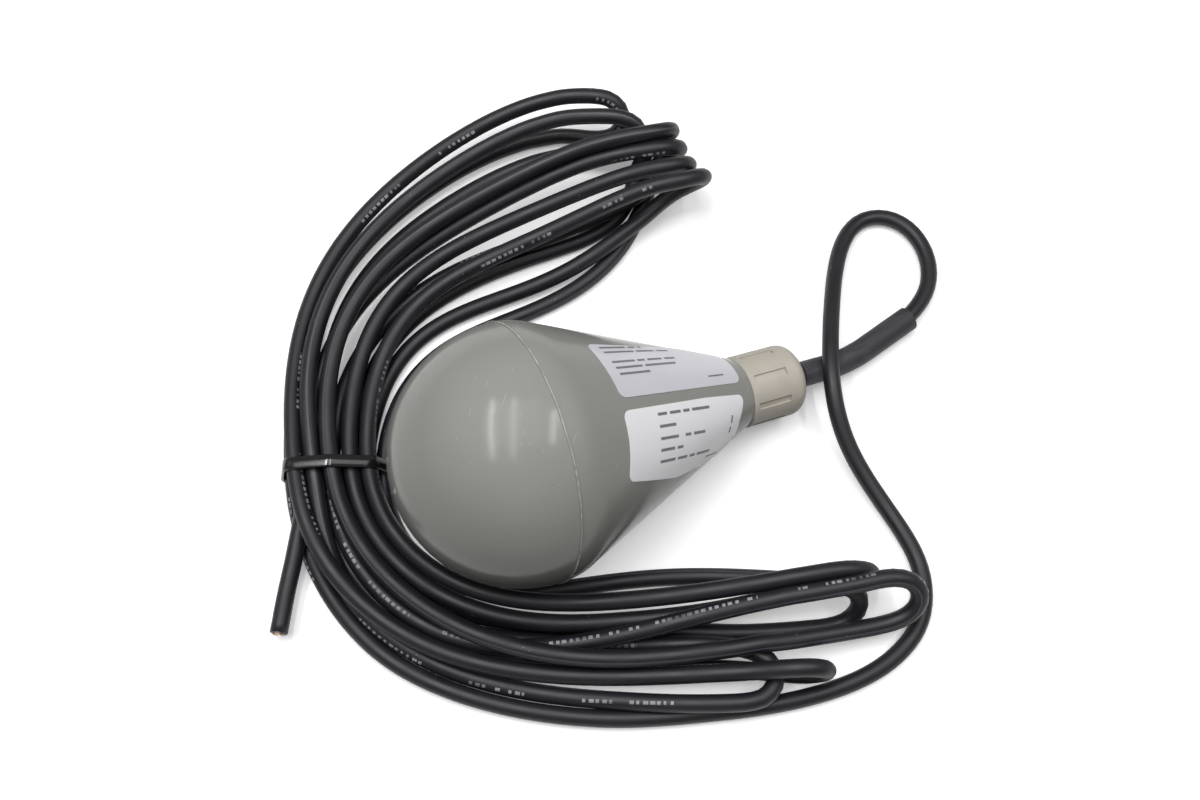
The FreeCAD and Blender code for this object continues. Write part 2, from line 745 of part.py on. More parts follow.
# bundle: oval sections from the lower to the upper lobe, by inner edge, outer edge and height
tie_inner, tie_outer = [Vector(*spot) for spot in laid((-85.4, 28.7, 0), (-126.4, 43, 0))]
tie_high = 19 * num("plan_step")
tie_way = (tie_outer - tie_inner).cross(Vector(0, 0, 1)).normalize()
lower_lobe = [
    ((90, -92), (91.5, -105), 14, 8),
    ((83, -86), (86.5, -109), 28, 3),
    ((65, -78), (60, -122), 28, 0),
    ((14, -57), (6.5, -112.5), 25, 0),
    ((-29.6, -41), (-45, -96.5), 22, 0),
    ((-63, -40), (-93, -66), 19, 0),
    ((-86, -25), (-117, -38), 19, 0),
    ((-93.5, 0.8), (-131.5, -1.6), 19, 0),
]
upper_lobe = [
    ((-62, 68), (-101, 99), 20, 0),
    ((-42, 74), (-67, 136.5), 21, 0),
    ((-12, 69), (-18, 165), 23, 0),
    ((24, 73), (28, 173), 26, 0),
    ((52, 83), (58, 160), 29, 0),
    ((78, 93), (77, 135), 31, 0.5),
    ((85.5, 99), (84, 127), 18, 7),
]


def planned(rows):
    spots = []
    for inner, outer, high, base in rows:
        flat = laid(inner, outer, (high, base))
        spots.append((flat[0], flat[1], flat[2][0], flat[2][1]))
    return spots


waist = []
for step in (1, 0, -1):
    shift = tie_way * (num("tie_w") * 1.3 * step)
    a = tie_inner + shift
    b = tie_outer + shift
    waist.append(((a.x, a.y), (b.x, b.y), tie_high, num("bundle_rise - bundle_base")))
bundle = planned(lower_lobe) + waist + planned(upper_lobe)


def oval(inner, outer, high, base, grow=0.0):
    half = (outer - inner).Length / 2 + grow
    tall = high / 2 + grow
    centre = (inner + outer) * 0.5
    centre.z = num("bundle_base") + base + high / 2
    sideways = (outer - inner).normalize()
    points = []
    for n in range(16):
        turn = math.radians(22.5 * n)
        points.append(centre + sideways * (half * math.cos(turn)) + Vector(0, 0, tall * math.sin(turn)))
    curve = Part.BSplineCurve()
    curve.interpolate(Points=points, PeriodicFlag=True, Parameters=[float(n) for n in range(17)])
    return Part.Wire(curve.toShape())


def line_through(points, marks):
    curve = Part.BSplineCurve()
    curve.interpolate(Points=points, Parameters=marks)
    return curve


inner_line = [Vector(*inner, base) for inner, outer, high, base in bundle]
outer_line = [Vector(*outer, high) for inner, outer, high, base in bundle]
marks = [0.0]
for n in range(1, len(bundle)):
    step = (inner_line[n] + outer_line[n] - inner_line[n - 1] - outer_line[n - 1]) * 0.5
    marks.append(marks[-1] + math.hypot(step.x, step.y))
inner_curve = line_through(inner_line, marks)
outer_curve = line_through(outer_line, marks)
sections = []
count = 34
for n in range(count + 1):
    a = inner_curve.value(marks[-1] * n / count)
    b = outer_curve.value(marks[-1] * n / count)
    sections.append(oval(Vector(a.x, a.y, 0), Vector(b.x, b.y, 0), b.z, max(a.z, 0.0)))
for a, b in zip(sections, sections[1:]):
    spots = [[edge.valueAt(n * 1.0) for n in range(16)] for edge in (a.Edges[0], b.Edges[0])]
    normal = (spots[0][4] - spots[0][0]).cross(spots[0][8] - spots[0][0]).normalize()
    gaps = [(q - spots[0][0]).dot(normal) for q in spots[1]]
    if min(gaps) * max(gaps) <= 0:
        print("bundle sections cross near %.0f %.0f" % (spots[1][0].x, spots[1][0].y))
skins = [Part.makeRuledSurface(a.Edges[0], b.Edges[0]) for a, b in zip(sections, sections[1:])]
skin = Part.Shell(skins + [Part.Face(sections[0]), Part.Face(sections[-1])])
skin.sewShape()
hank = Part.Solid(skin)
if hank.Volume < 0:
    hank.reverse()
hold("cable_hank", hank, table)

# nylon tie round the bundle, its head low on the inner side
tie_base = num("bundle_rise - bundle_base")
slack = num("fit_gap")
band_outer = Part.Face(oval(tie_inner, tie_outer, tie_high, tie_base, slack + num("tie_t")))
band_inner = Part.Face(oval(tie_inner, tie_outer, tie_high, tie_base, slack))
half_band = tie_way * num("tie_w / 2")
band = band_outer.extrude(half_band * 2).cut(band_inner.extrude(half_band * 2))
band.translate(half_band * -1)
head = Part.makeBox(num("tie_head_t"), num("tie_head_w"), num("tie_head_long"))
head.translate(Vector(0, -num("tie_head_w / 2"), -num("tie_head_long / 2")))
inward = (tie_inner - tie_outer).normalize()
head_spot = tie_inner + inward * (slack + num("tie_t / 2")) + Vector(0, 0, num("bundle_rise") + tie_high / 2)
head.Placement = Placement(head_spot, Rotation(inward, tie_way, Vector(0, 0, 1), "ZXY")) * head.Placement
hold("cable_tie", band.fuse(head), table)

doc.recompute()
os.makedirs("parts", exist_ok=True)
for thing in doc.Objects:
    if "Invalid" in thing.State or "Error" in thing.State:
        raise SystemExit("not built: " + thing.Name)
for name, thing in nodes:
    shape = thing.Shape
    if shape.isNull() or not shape.isValid():
        raise SystemExit("bad shape: " + name)
    box_of = shape.BoundBox
    print("%-17s solids %d volume %9.1f x %7.1f %7.1f y %7.1f %7.1f z %6.1f %6.1f" % (
        name, len(shape.Solids), shape.Volume, box_of.XMin, box_of.XMax,
        box_of.YMin, box_of.YMax, box_of.ZMin, box_of.ZMax))
    shape.exportStep("parts/%s.step" % name)
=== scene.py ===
import math
import bpy
import numpy as np
from mathutils import Matrix, Vector, noise


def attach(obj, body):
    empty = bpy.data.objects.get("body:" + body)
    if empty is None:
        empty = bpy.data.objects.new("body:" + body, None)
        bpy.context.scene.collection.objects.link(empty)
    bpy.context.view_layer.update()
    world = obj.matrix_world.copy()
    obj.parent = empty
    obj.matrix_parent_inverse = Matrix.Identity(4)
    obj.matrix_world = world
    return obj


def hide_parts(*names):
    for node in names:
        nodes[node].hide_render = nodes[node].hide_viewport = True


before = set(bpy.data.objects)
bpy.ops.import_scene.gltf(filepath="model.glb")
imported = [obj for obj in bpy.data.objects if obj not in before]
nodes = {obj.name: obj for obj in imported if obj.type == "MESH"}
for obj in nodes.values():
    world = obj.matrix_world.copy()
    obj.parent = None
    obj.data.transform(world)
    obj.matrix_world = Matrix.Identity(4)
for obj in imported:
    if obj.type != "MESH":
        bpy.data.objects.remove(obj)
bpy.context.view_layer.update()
mm = 0.001
print("frame loaded:", len(nodes), "nodes")

# the float's own axes: bulb centre, axis from bulb to nut, and the axis that points up from it
floatBody = {
    "centre": Vector((-0.03597, 0.0, 0.050)),
    "incline": math.radians(16.5),
    "bulbRadius": 0.050,
    "coneAngle": math.radians(22),
    "blendRadius": 0.028,
    "coneLength": 0.094,
}
along = Vector((math.cos(floatBody["incline"]), 0, -math.sin(floatBody["incline"])))
upward = Vector((math.sin(floatBody["incline"]), 0, math.cos(floatBody["incline"])))
sideways = Vector((0, -1, 0))


def onFloat(x, y, z):
    return floatBody["centre"] + upward * x + sideways * y + along * z


def coneRadius(z):
    lean, blend = floatBody["coneAngle"], floatBody["blendRadius"]
    flat = floatBody["bulbRadius"] - blend + blend * math.cos(lean)
    return flat - (z - blend * math.sin(lean)) * math.tan(lean)


def linear(hexColour):
    parts = [int(hexColour[i:i + 2], 16) / 255 for i in (1, 3, 5)]
    return [c / 12.92 if c <= 0.04045 else ((c + 0.055) / 1.055) ** 2.4 for c in parts] + [1.0]


def scaleOf(sizeMm):
    return 1000 / sizeMm  # repeats in a metre


# sockets go by name or number: Mix has its share at 0, its colours at 6 and 7 and its result at 2;
# Map Range has its value at 0, the old range at 1 and 2, and the new one at 3 and 4
def addNode(tree, kind, links=None, **settings):
    made = tree.nodes.new("ShaderNode" + kind)
    for name, value in settings.items():
        setattr(made, name, value)
    for socket, source in (links or {}).items():
        if hasattr(source, "is_output"):
            tree.links.new(source, made.inputs[socket])
        else:
            made.inputs[socket].default_value = source
    return made


def startMaterial(name, **sockets):
    material = bpy.data.materials.new(name)
    material.use_nodes = True
    tree = material.node_tree
    shader = tree.nodes["Principled BSDF"]
    for socket, value in sockets.items():
        shader.inputs[socket.replace("_", " ")].default_value = value
    place = addNode(tree, "TexCoord").outputs["Object"]
    return material, tree, shader, place


def paint(obj, material):
    obj.data.materials.clear()
    obj.data.materials.append(material)


def addMesh(name, points, faces, material):
    mesh = bpy.data.meshes.new(name)
    mesh.from_pydata([tuple(p) for p in points], [], faces)
    mesh.update()
    mesh.shade_smooth()
    obj = bpy.data.objects.new(name, mesh)
    bpy.context.collection.objects.link(obj)
    paint(obj, material)
    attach(obj, "casing")
    return obj


# how deep fine and coarse grain is bumped
fineGrain = 0.1 * mm
coarseGrain = 0.2 * mm

# satin moulded polypropylene: soft broad shine, slight cloudiness, fine handling scratches and a few specks
casingLook = {"base": "#91918D", "cloud": "#898984", "scratch": "#A9A8A1", "speck": "#4A4945",
              "cloudMm": 38, "scratchMm": (60, 2, 2), "scratchTurn": 0.9, "scratchEdge": (0.06, 0.10),
              "speckMm": 14, "speckEdge": (0.022, 0.03), "markShare": 0.55,
              "roughness": (0.14, 0.23), "grainMm": 1.1, "bump": 0.05}
casing, tree, shader, place = startMaterial("moulded polypropylene", IOR=1.49, Specular_IOR_Level=0.16)
cloud = addNode(tree, "TexNoise", {"Vector": place, "Scale": scaleOf(casingLook["cloudMm"]), "Detail": 4.0})
tint = addNode(tree, "Mix", {0: cloud.outputs[0], 6: linear(casingLook["base"]),
                             7: linear(casingLook["cloud"])}, data_type="RGBA")
needles = addNode(tree, "Mapping", {"Vector": place, "Rotation": (0, 0, casingLook["scratchTurn"]),
                                    "Scale": [side * mm for side in casingLook["scratchMm"]]},
                  vector_type="TEXTURE")
hair = addNode(tree, "TexVoronoi", {"Vector": needles.outputs[0], "Scale": 1.0})
hairLine = addNode(tree, "MapRange", {0: hair.outputs["Distance"], 1: casingLook["scratchEdge"][0],
                                      2: casingLook["scratchEdge"][1], 3: casingLook["markShare"], 4: 0.0})
scratched = addNode(tree, "Mix", {0: hairLine.outputs[0], 6: tint.outputs[2],
                                  7: linear(casingLook["scratch"])}, data_type="RGBA")
cells = addNode(tree, "TexVoronoi", {"Vector": place, "Scale": scaleOf(casingLook["speckMm"])})
dot = addNode(tree, "MapRange", {0: cells.outputs["Distance"], 1: casingLook["speckEdge"][0],
                                 2: casingLook["speckEdge"][1], 3: casingLook["markShare"], 4: 0.0})
specked = addNode(tree, "Mix", {0: dot.outputs[0], 6: scratched.outputs[2],
                                7: linear(casingLook["speck"])}, data_type="RGBA")
tree.links.new(specked.outputs[2], shader.inputs["Base Color"])
grain = addNode(tree, "TexNoise", {"Vector": place, "Scale": scaleOf(casingLook["grainMm"]), "Detail": 2.0})
gloss = addNode(tree, "MapRange", {0: cloud.outputs[0], 1: 0.3, 2: 0.7,
                                   3: casingLook["roughness"][0], 4: casingLook["roughness"][1]})
tree.links.new(gloss.outputs[0], shader.inputs["Roughness"])
skin = addNode(tree, "Bump", {"Height": grain.outputs[0], "Strength": casingLook["bump"],
                              "Distance": fineGrain})
tree.links.new(skin.outputs[0], shader.inputs["Normal"])
for name in ("bulb_shell", "cone_shell"):
    paint(nodes[name], casing)

# welding flash: the same polymer squeezed out pale and ragged along the seam
flashLook = {"pale": "#B4B3AB", "dull": "#93928C", "lumpMm": 5.0}
weldFlash, tree, shader, place = startMaterial("polypropylene weld flash", IOR=1.49, Roughness=0.42)
lumps = addNode(tree, "TexNoise", {"Vector": place, "Scale": scaleOf(flashLook["lumpMm"]), "Detail": 3.0})
ragged = addNode(tree, "MapRange", {0: lumps.outputs[0], 1: 0.38, 2: 0.62})
pale = addNode(tree, "Mix", {0: ragged.outputs[0], 6: linear(flashLook["dull"]),
                             7: linear(flashLook["pale"])}, data_type="RGBA")
tree.links.new(pale.outputs[2], shader.inputs["Base Color"])

# moulded polyamide, stone beige: fine eroded texture, dull sheen, a little grime in the grain
nutLook = {"base": "#BDB7AC", "shade": "#A9A398", "grainMm": 0.9, "cloudMm": 9, "bump": 0.12}
beige, tree, shader, place = startMaterial("moulded polyamide beige", IOR=1.53, Roughness=0.52)
cloud = addNode(tree, "TexNoise", {"Vector": place, "Scale": scaleOf(nutLook["cloudMm"]), "Detail": 5.0})
tint = addNode(tree, "Mix", {0: cloud.outputs[0], 6: linear(nutLook["base"]),
                             7: linear(nutLook["shade"])}, data_type="RGBA")
tree.links.new(tint.outputs[2], shader.inputs["Base Color"])
grain = addNode(tree, "TexNoise", {"Vector": place, "Scale": scaleOf(nutLook["grainMm"]), "Detail": 3.0})
skin = addNode(tree, "Bump", {"Height": grain.outputs[0], "Strength": nutLook["bump"],
                              "Distance": coarseGrain})
tree.links.new(skin.outputs[0], shader.inputs["Normal"])
paint(nodes["gland_nut"], beige)

# black rubber of bush and sleeve: matte, with a bluish bloom and wiped dust along its length
sleeveLook = {"base": "#27262A", "bloom": "#4B4B55", "bloomMm": 11, "grainMm": 0.7, "bump": 0.15,
              "wipeTurn": (0, 0.28, 0.2), "wipeStretch": (0.35, 1.6, 1.6), "dust": 0.8}
sleeveRubber, tree, shader, place = startMaterial("bloomed black rubber", IOR=1.5, Roughness=0.6)
wiped = addNode(tree, "Mapping", {"Vector": place, "Rotation": sleeveLook["wipeTurn"],
                                  "Scale": sleeveLook["wipeStretch"]})
bloom = addNode(tree, "TexNoise", {"Vector": wiped.outputs[0], "Scale": scaleOf(sleeveLook["bloomMm"]),
                                   "Detail": 5.0, "Distortion": 0.8})
dusty = addNode(tree, "MapRange", {0: bloom.outputs[0], 1: 0.38, 2: 0.75, 3: 0.0, 4: sleeveLook["dust"]})
tint = addNode(tree, "Mix", {0: dusty.outputs[0], 6: linear(sleeveLook["base"]),
                             7: linear(sleeveLook["bloom"])}, data_type="RGBA")
tree.links.new(tint.outputs[2], shader.inputs["Base Color"])
grain = addNode(tree, "TexNoise", {"Vector": place, "Scale": scaleOf(sleeveLook["grainMm"]), "Detail": 3.0})
skin = addNode(tree, "Bump", {"Height": grain.outputs[0], "Strength": sleeveLook["bump"],
                              "Distance": coarseGrain})
tree.links.new(skin.outputs[0], shader.inputs["Normal"])
for name in ("gland_seal", "bend_sleeve"):
    paint(nodes[name], sleeveRubber)

# chloroprene cable sheath: near black, soft sheen from extrusion, a thin die line, lint and plain ink dashes
# dashes and groups of them: pitch in mm, share left out, shortest and longest inked share of the pitch
sheathLook = {"base": "#141217", "worn": "#1E1C22", "ink": "#B9BAC2", "lint": "#8A8A90", "seam": "#5E5C66",
              "roughness": (0.40, 0.54), "wearMm": 14, "grainMm": 0.5, "bump": 0.12, "aroundMm": 22.0,
              "lintMm": 7, "lintEdge": (0.028, 0.04), "lintShare": 0.6,
              "dashes": (2.6, 0.12, 0.35, 0.78), "groups": (46, 0.30, 0.5, 0.9),
              "inkAt": 0.5, "inkHeightMm": 1.35, "inkShare": (0.15, 0.6),
              "seamAt": 0.28, "seamMm": (0.2, 0.45), "seamShare": 0.45}
sheath, tree, shader, place = startMaterial("extruded chloroprene rubber", IOR=1.5, Specular_IOR_Level=0.4)
wear = addNode(tree, "TexNoise", {"Vector": place, "Scale": scaleOf(sheathLook["wearMm"]), "Detail": 5.0})
tint = addNode(tree, "Mix", {0: wear.outputs[0], 6: linear(sheathLook["base"]),
                             7: linear(sheathLook["worn"])}, data_type="RGBA")
cells = addNode(tree, "TexVoronoi", {"Vector": place, "Scale": scaleOf(sheathLook["lintMm"])})
dot = addNode(tree, "MapRange", {0: cells.outputs["Distance"], 1: sheathLook["lintEdge"][0],
                                 2: sheathLook["lintEdge"][1], 3: sheathLook["lintShare"], 4: 0.0})
linty = addNode(tree, "Mix", {0: dot.outputs[0], 6: tint.outputs[2],
                              7: linear(sheathLook["lint"])}, data_type="RGBA")
rolled = addNode(tree, "UVMap", uv_map="sheathRoll")
split = addNode(tree, "SeparateXYZ", {0: rolled.outputs[0]})
inkParts = []
for pitchMm, leftOut, shortest, longest in (sheathLook["dashes"], sheathLook["groups"]):
    pitch = addNode(tree, "Math", {0: split.outputs[0], 1: scaleOf(pitchMm)}, operation="MULTIPLY")
    cell = addNode(tree, "Math", {0: pitch.outputs[0]}, operation="FLOOR")
    within = addNode(tree, "Math", {0: pitch.outputs[0]}, operation="FRACT")
    chance = addNode(tree, "TexWhiteNoise", {"W": cell.outputs[0]}, noise_dimensions="1D")
    inkLength = addNode(tree, "MapRange", {0: chance.outputs[0], 1: leftOut, 2: 1.0, 3: shortest, 4: longest})
    inside = addNode(tree, "Math", {0: within.outputs[0], 1: inkLength.outputs[0]}, operation="LESS_THAN")
    there = addNode(tree, "Math", {0: chance.outputs[0], 1: leftOut}, operation="GREATER_THAN")
    inkParts.append(addNode(tree, "Math", {0: inside.outputs[0], 1: there.outputs[0]}, operation="MULTIPLY"))
around = addNode(tree, "Math", {0: split.outputs[1]}, operation="FRACT")
offInk = addNode(tree, "Math", {0: around.outputs[0], 1: sheathLook["inkAt"]}, operation="SUBTRACT")
inkGap = addNode(tree, "Math", {0: offInk.outputs[0]}, operation="ABSOLUTE")
inkHalf = sheathLook["inkHeightMm"] / sheathLook["aroundMm"] / 2
inBand = addNode(tree, "Math", {0: inkGap.outputs[0], 1: inkHalf}, operation="LESS_THAN")
both = addNode(tree, "Math", {0: inkParts[0].outputs[0], 1: inkParts[1].outputs[0]}, operation="MULTIPLY")
inked = addNode(tree, "Math", {0: both.outputs[0], 1: inBand.outputs[0]}, operation="MULTIPLY")
patchy = addNode(tree, "MapRange", {0: wear.outputs[0], 1: 0.35, 2: 0.6,
                                    3: sheathLook["inkShare"][0], 4: sheathLook["inkShare"][1]})
inkShare = addNode(tree, "Math", {0: inked.outputs[0], 1: patchy.outputs[0]}, operation="MULTIPLY")
offSeam = addNode(tree, "Math", {0: around.outputs[0], 1: sheathLook["seamAt"]}, operation="SUBTRACT")
seamGap = addNode(tree, "Math", {0: offSeam.outputs[0]}, operation="ABSOLUTE")
seamEdge = [width / sheathLook["aroundMm"] for width in sheathLook["seamMm"]]
seamLine = addNode(tree, "MapRange", {0: seamGap.outputs[0], 1: seamEdge[0], 2: seamEdge[1],
                                      3: sheathLook["seamShare"], 4: 0.0})
seamed = addNode(tree, "Mix", {0: seamLine.outputs[0], 6: linty.outputs[2],
                               7: linear(sheathLook["seam"])}, data_type="RGBA")
printed = addNode(tree, "Mix", {0: inkShare.outputs[0], 6: seamed.outputs[2],
                                7: linear(sheathLook["ink"])}, data_type="RGBA")
tree.links.new(printed.outputs[2], shader.inputs["Base Color"])
gloss = addNode(tree, "MapRange", {0: wear.outputs[0], 1: 0.3, 2: 0.7,
                                   3: sheathLook["roughness"][0], 4: sheathLook["roughness"][1]})
tree.links.new(gloss.outputs[0], shader.inputs["Roughness"])
grain = addNode(tree, "TexNoise", {"Vector": place, "Scale": scaleOf(sheathLook["grainMm"]), "Detail": 2.0})
skin = addNode(tree, "Bump", {"Height": grain.outputs[0], "Strength": sheathLook["bump"],
                              "Distance": fineGrain})
tree.links.new(skin.outputs[0], shader.inputs["Normal"])

# printed polyester film: smooth and satin, faintly uneven where it is pressed on
labelLooks = {
    "label_white": {"name": "white polyester film", "base": "#EFEFF1", "shade": "#E7E7EA", "metallic": 0.0,
                    "roughness": (0.31, 0.42), "cloudMm": 16, "rippleMm": 7, "bump": 0.06},
    "label_silver": {"name": "silver polyester film", "base": "#D3D2D8", "shade": "#C9C8CF", "metallic": 0.15,
                     "roughness": (0.29, 0.40), "cloudMm": 16, "rippleMm": 7, "bump": 0.06},
}
for node, look in labelLooks.items():
    finish, tree, shader, place = startMaterial(look["name"], IOR=1.57, Metallic=look["metallic"])
    cloud = addNode(tree, "TexNoise", {"Vector": place, "Scale": scaleOf(look["cloudMm"]), "Detail": 3.0})
    tint = addNode(tree, "Mix", {0: cloud.outputs[0], 6: linear(look["base"]), 7: linear(look["shade"])},
                   data_type="RGBA")
    tree.links.new(tint.outputs[2], shader.inputs["Base Color"])
    gloss = addNode(tree, "MapRange", {0: cloud.outputs[0], 1: 0.3, 2: 0.7,
                                       3: look["roughness"][0], 4: look["roughness"][1]})
    tree.links.new(gloss.outputs[0], shader.inputs["Roughness"])
    ripple = addNode(tree, "TexNoise", {"Vector": place, "Scale": scaleOf(look["rippleMm"]), "Detail": 1.0})
    skin = addNode(tree, "Bump", {"Height": ripple.outputs[0], "Strength": look["bump"],
                                  "Distance": coarseGrain})
    tree.links.new(skin.outputs[0], shader.inputs["Normal"])
    paint(nodes[node], finish)

# the pieces inside the casing and the small ones outside:
# colour, its second shade, metal or not, shine, cloud and grain size, depth of grain
plainLooks = {
    # barrel polished nylon: deep black with a wet shine
    "moulded black nylon": {
        "nodes": ["cable_tie", "switch_plunger"], "base": "#141416", "shade": "#1C1C1F", "metallic": 0.0,
        "roughness": 0.13, "cloudMm": 6, "grainMm": 1.6, "bump": 0.03},
    # natural polyamide: milky, slightly yellow
    "moulded natural polyamide": {
        "nodes": ["switch_carrier", "gland_washer"], "base": "#CFC8B4", "shade": "#BDB59F", "metallic": 0.0,
        "roughness": 0.45, "cloudMm": 12, "grainMm": 1.0, "bump": 0.1},
    # cast iron in oil: dark, grainy, dull shine
    "oiled cast iron": {
        "nodes": ["ballast_ring"], "base": "#4A4845", "shade": "#343230", "metallic": 1.0,
        "roughness": 0.5, "cloudMm": 5, "grainMm": 0.9, "bump": 0.4},
    # zinc plate: bright grey with a cold, slightly mottled shine
    "zinc plated steel": {
        "nodes": ["carrier_screws", "pivot_pin", "pivot_clips", "switch_lever", "lever_pin", "switch_screws"],
        "base": "#BFC1C3", "shade": "#A6A9AD", "metallic": 1.0,
        "roughness": 0.32, "cloudMm": 4, "grainMm": 0.4, "bump": 0.08},
    # turned brass: warm yellow, darker where it has been handled
    "turned brass": {
        "nodes": ["pendulum_weight", "switch_terminals"], "base": "#C9A85C", "shade": "#AE8C46",
        "metallic": 1.0, "roughness": 0.28, "cloudMm": 8, "grainMm": 0.4, "bump": 0.08},
    # pressed phenolic: brown-black with a dry surface
    "pressed phenolic": {
        "nodes": ["switch_case"], "base": "#1E1B1A", "shade": "#292523", "metallic": 0.0,
        "roughness": 0.48, "cloudMm": 5, "grainMm": 0.5, "bump": 0.12},
    # pale rubber filler and insulation at the cut, smeared by the cutter
    "cut core insulation": {
        "nodes": [], "base": "#8C8177", "shade": "#6B625B", "metallic": 0.0,
        "roughness": 0.6, "cloudMm": 1, "grainMm": 0.3, "bump": 0.2},
    # tinned copper wires: pale, with the copper showing through
    "tinned copper strand": {
        "nodes": [], "base": "#CDB9A2", "shade": "#B08D70", "metallic": 1.0,
        "roughness": 0.38, "cloudMm": 0.8, "grainMm": 0.3, "bump": 0.1},
    # printing ink on film: flat dark grey, thin enough for the film to show
    "label printing ink": {
        "nodes": [], "base": "#6A6A6D", "shade": "#77777A", "metallic": 0.0,
        "roughness": 0.5, "cloudMm": 2, "grainMm": 0.4, "bump": 0.03},
}
# core insulation: plain extruded colour, soft shine
coreColours = {"brown": ("#5A3A24", "#4D311E"), "blue": ("#2C5190", "#27487F"),
               "black": ("#1A1A1B", "#222223")}
for colour, (base, shade) in coreColours.items():
    plainLooks[colour + " core insulation"] = {
        "nodes": ["core_" + colour], "base": base, "shade": shade, "metallic": 0.0,
        "roughness": 0.42, "cloudMm": 5, "grainMm": 0.5, "bump": 0.06}
finishes = {}
for name, look in plainLooks.items():
    finish, tree, shader, place = startMaterial(name, Metallic=look["metallic"], Roughness=look["roughness"])
    cloud = addNode(tree, "TexNoise", {"Vector": place, "Scale": scaleOf(look["cloudMm"]), "Detail": 4.0})
    tint = addNode(tree, "Mix", {0: cloud.outputs[0], 6: linear(look["base"]), 7: linear(look["shade"])},
                   data_type="RGBA")
    tree.links.new(tint.outputs[2], shader.inputs["Base Color"])
    grain = addNode(tree, "TexNoise", {"Vector": place, "Scale": scaleOf(look["grainMm"]), "Detail": 2.0})
    skin = addNode(tree, "Bump", {"Height": grain.outputs[0], "Strength": look["bump"],
                                  "Distance": coarseGrain})
    tree.links.new(skin.outputs[0], shader.inputs["Normal"])
    finishes[name] = finish
    for node in look["nodes"]:
        paint(nodes[node], finish)
paint(nodes["inner_cable"], sheath)
print("materials made:", len(bpy.data.materials))

# cable: out of the gland, round a free loop, into a tied hank of six turns, and a cut tail
cable = {
    "radius": 0.0035,
    "sides": 16,
    "step": 0.0035,
    "leadRoute": [
        (0.0781, 0.0, 0.0162), (0.1079, 0.0, 0.0074), (0.1535, 0.0115, 0.0054), (0.1658, 0.032, 0.0037),
        (0.1638, 0.054, 0.0037), (0.1445, 0.064, 0.0037), (0.126, 0.046, 0.0055), (0.109, 0.020, 0.0145),
        (0.093, -0.008, 0.0225), (0.089, -0.033, 0.011), (0.095, -0.063, 0.0037), (0.099, -0.092, 0.0037),
        (0.081, -0.1175, 0.0037), (0.035, -0.1215, 0.0037),
    ],
    "tailRoute": [
        (-0.1215, 0.0240, 0.0100), (-0.1275, 0.0125, 0.0108), (-0.1322, 0.0077, 0.0106),
        (-0.1408, -0.0068, 0.0070), (-0.1482, -0.0217, 0.0085),
    ],
    # inner and outer edge of the bundle, from the lower lobe past the tie to the upper lobe
    "edges": [
        ((0.065, -0.078), (0.060, -0.119)), ((0.014, -0.057), (0.007, -0.110)),
        ((-0.0296, -0.041), (-0.0437, -0.094)), ((-0.063, -0.040), (-0.092, -0.065)),
        ((-0.086, -0.025), (-0.116, -0.038)), ((-0.0955, 0.0008), (-0.131, -0.0016)),
        ((-0.091, 0.0307), (-0.1279, 0.0436)), ((-0.064, 0.0705), (-0.107, 0.104)),
        ((-0.042, 0.076), (-0.070, 0.143)), ((-0.012, 0.069), (-0.018, 0.165)),
        ((0.024, 0.073), (0.028, 0.173)), ((0.052, 0.083), (0.058, 0.160)),
    ],
    "clear": 0.012,
    "tieEdge": 6,
    "leadEdges": 2,
    # the spline cuts inside a fold's control points, so they stand a little outside it
    "foldAhead": 1.06,
    "foldApart": 0.54,
    # the print wanders round the sheath as the cable is twisted by hand:
    # waves of a share of a turn, radians per metre and start
    "printMiddle": 0.5,
    "printWaves": ((0.16, 5.3, 0.0), (0.22, 2.1, 1.0)),
}
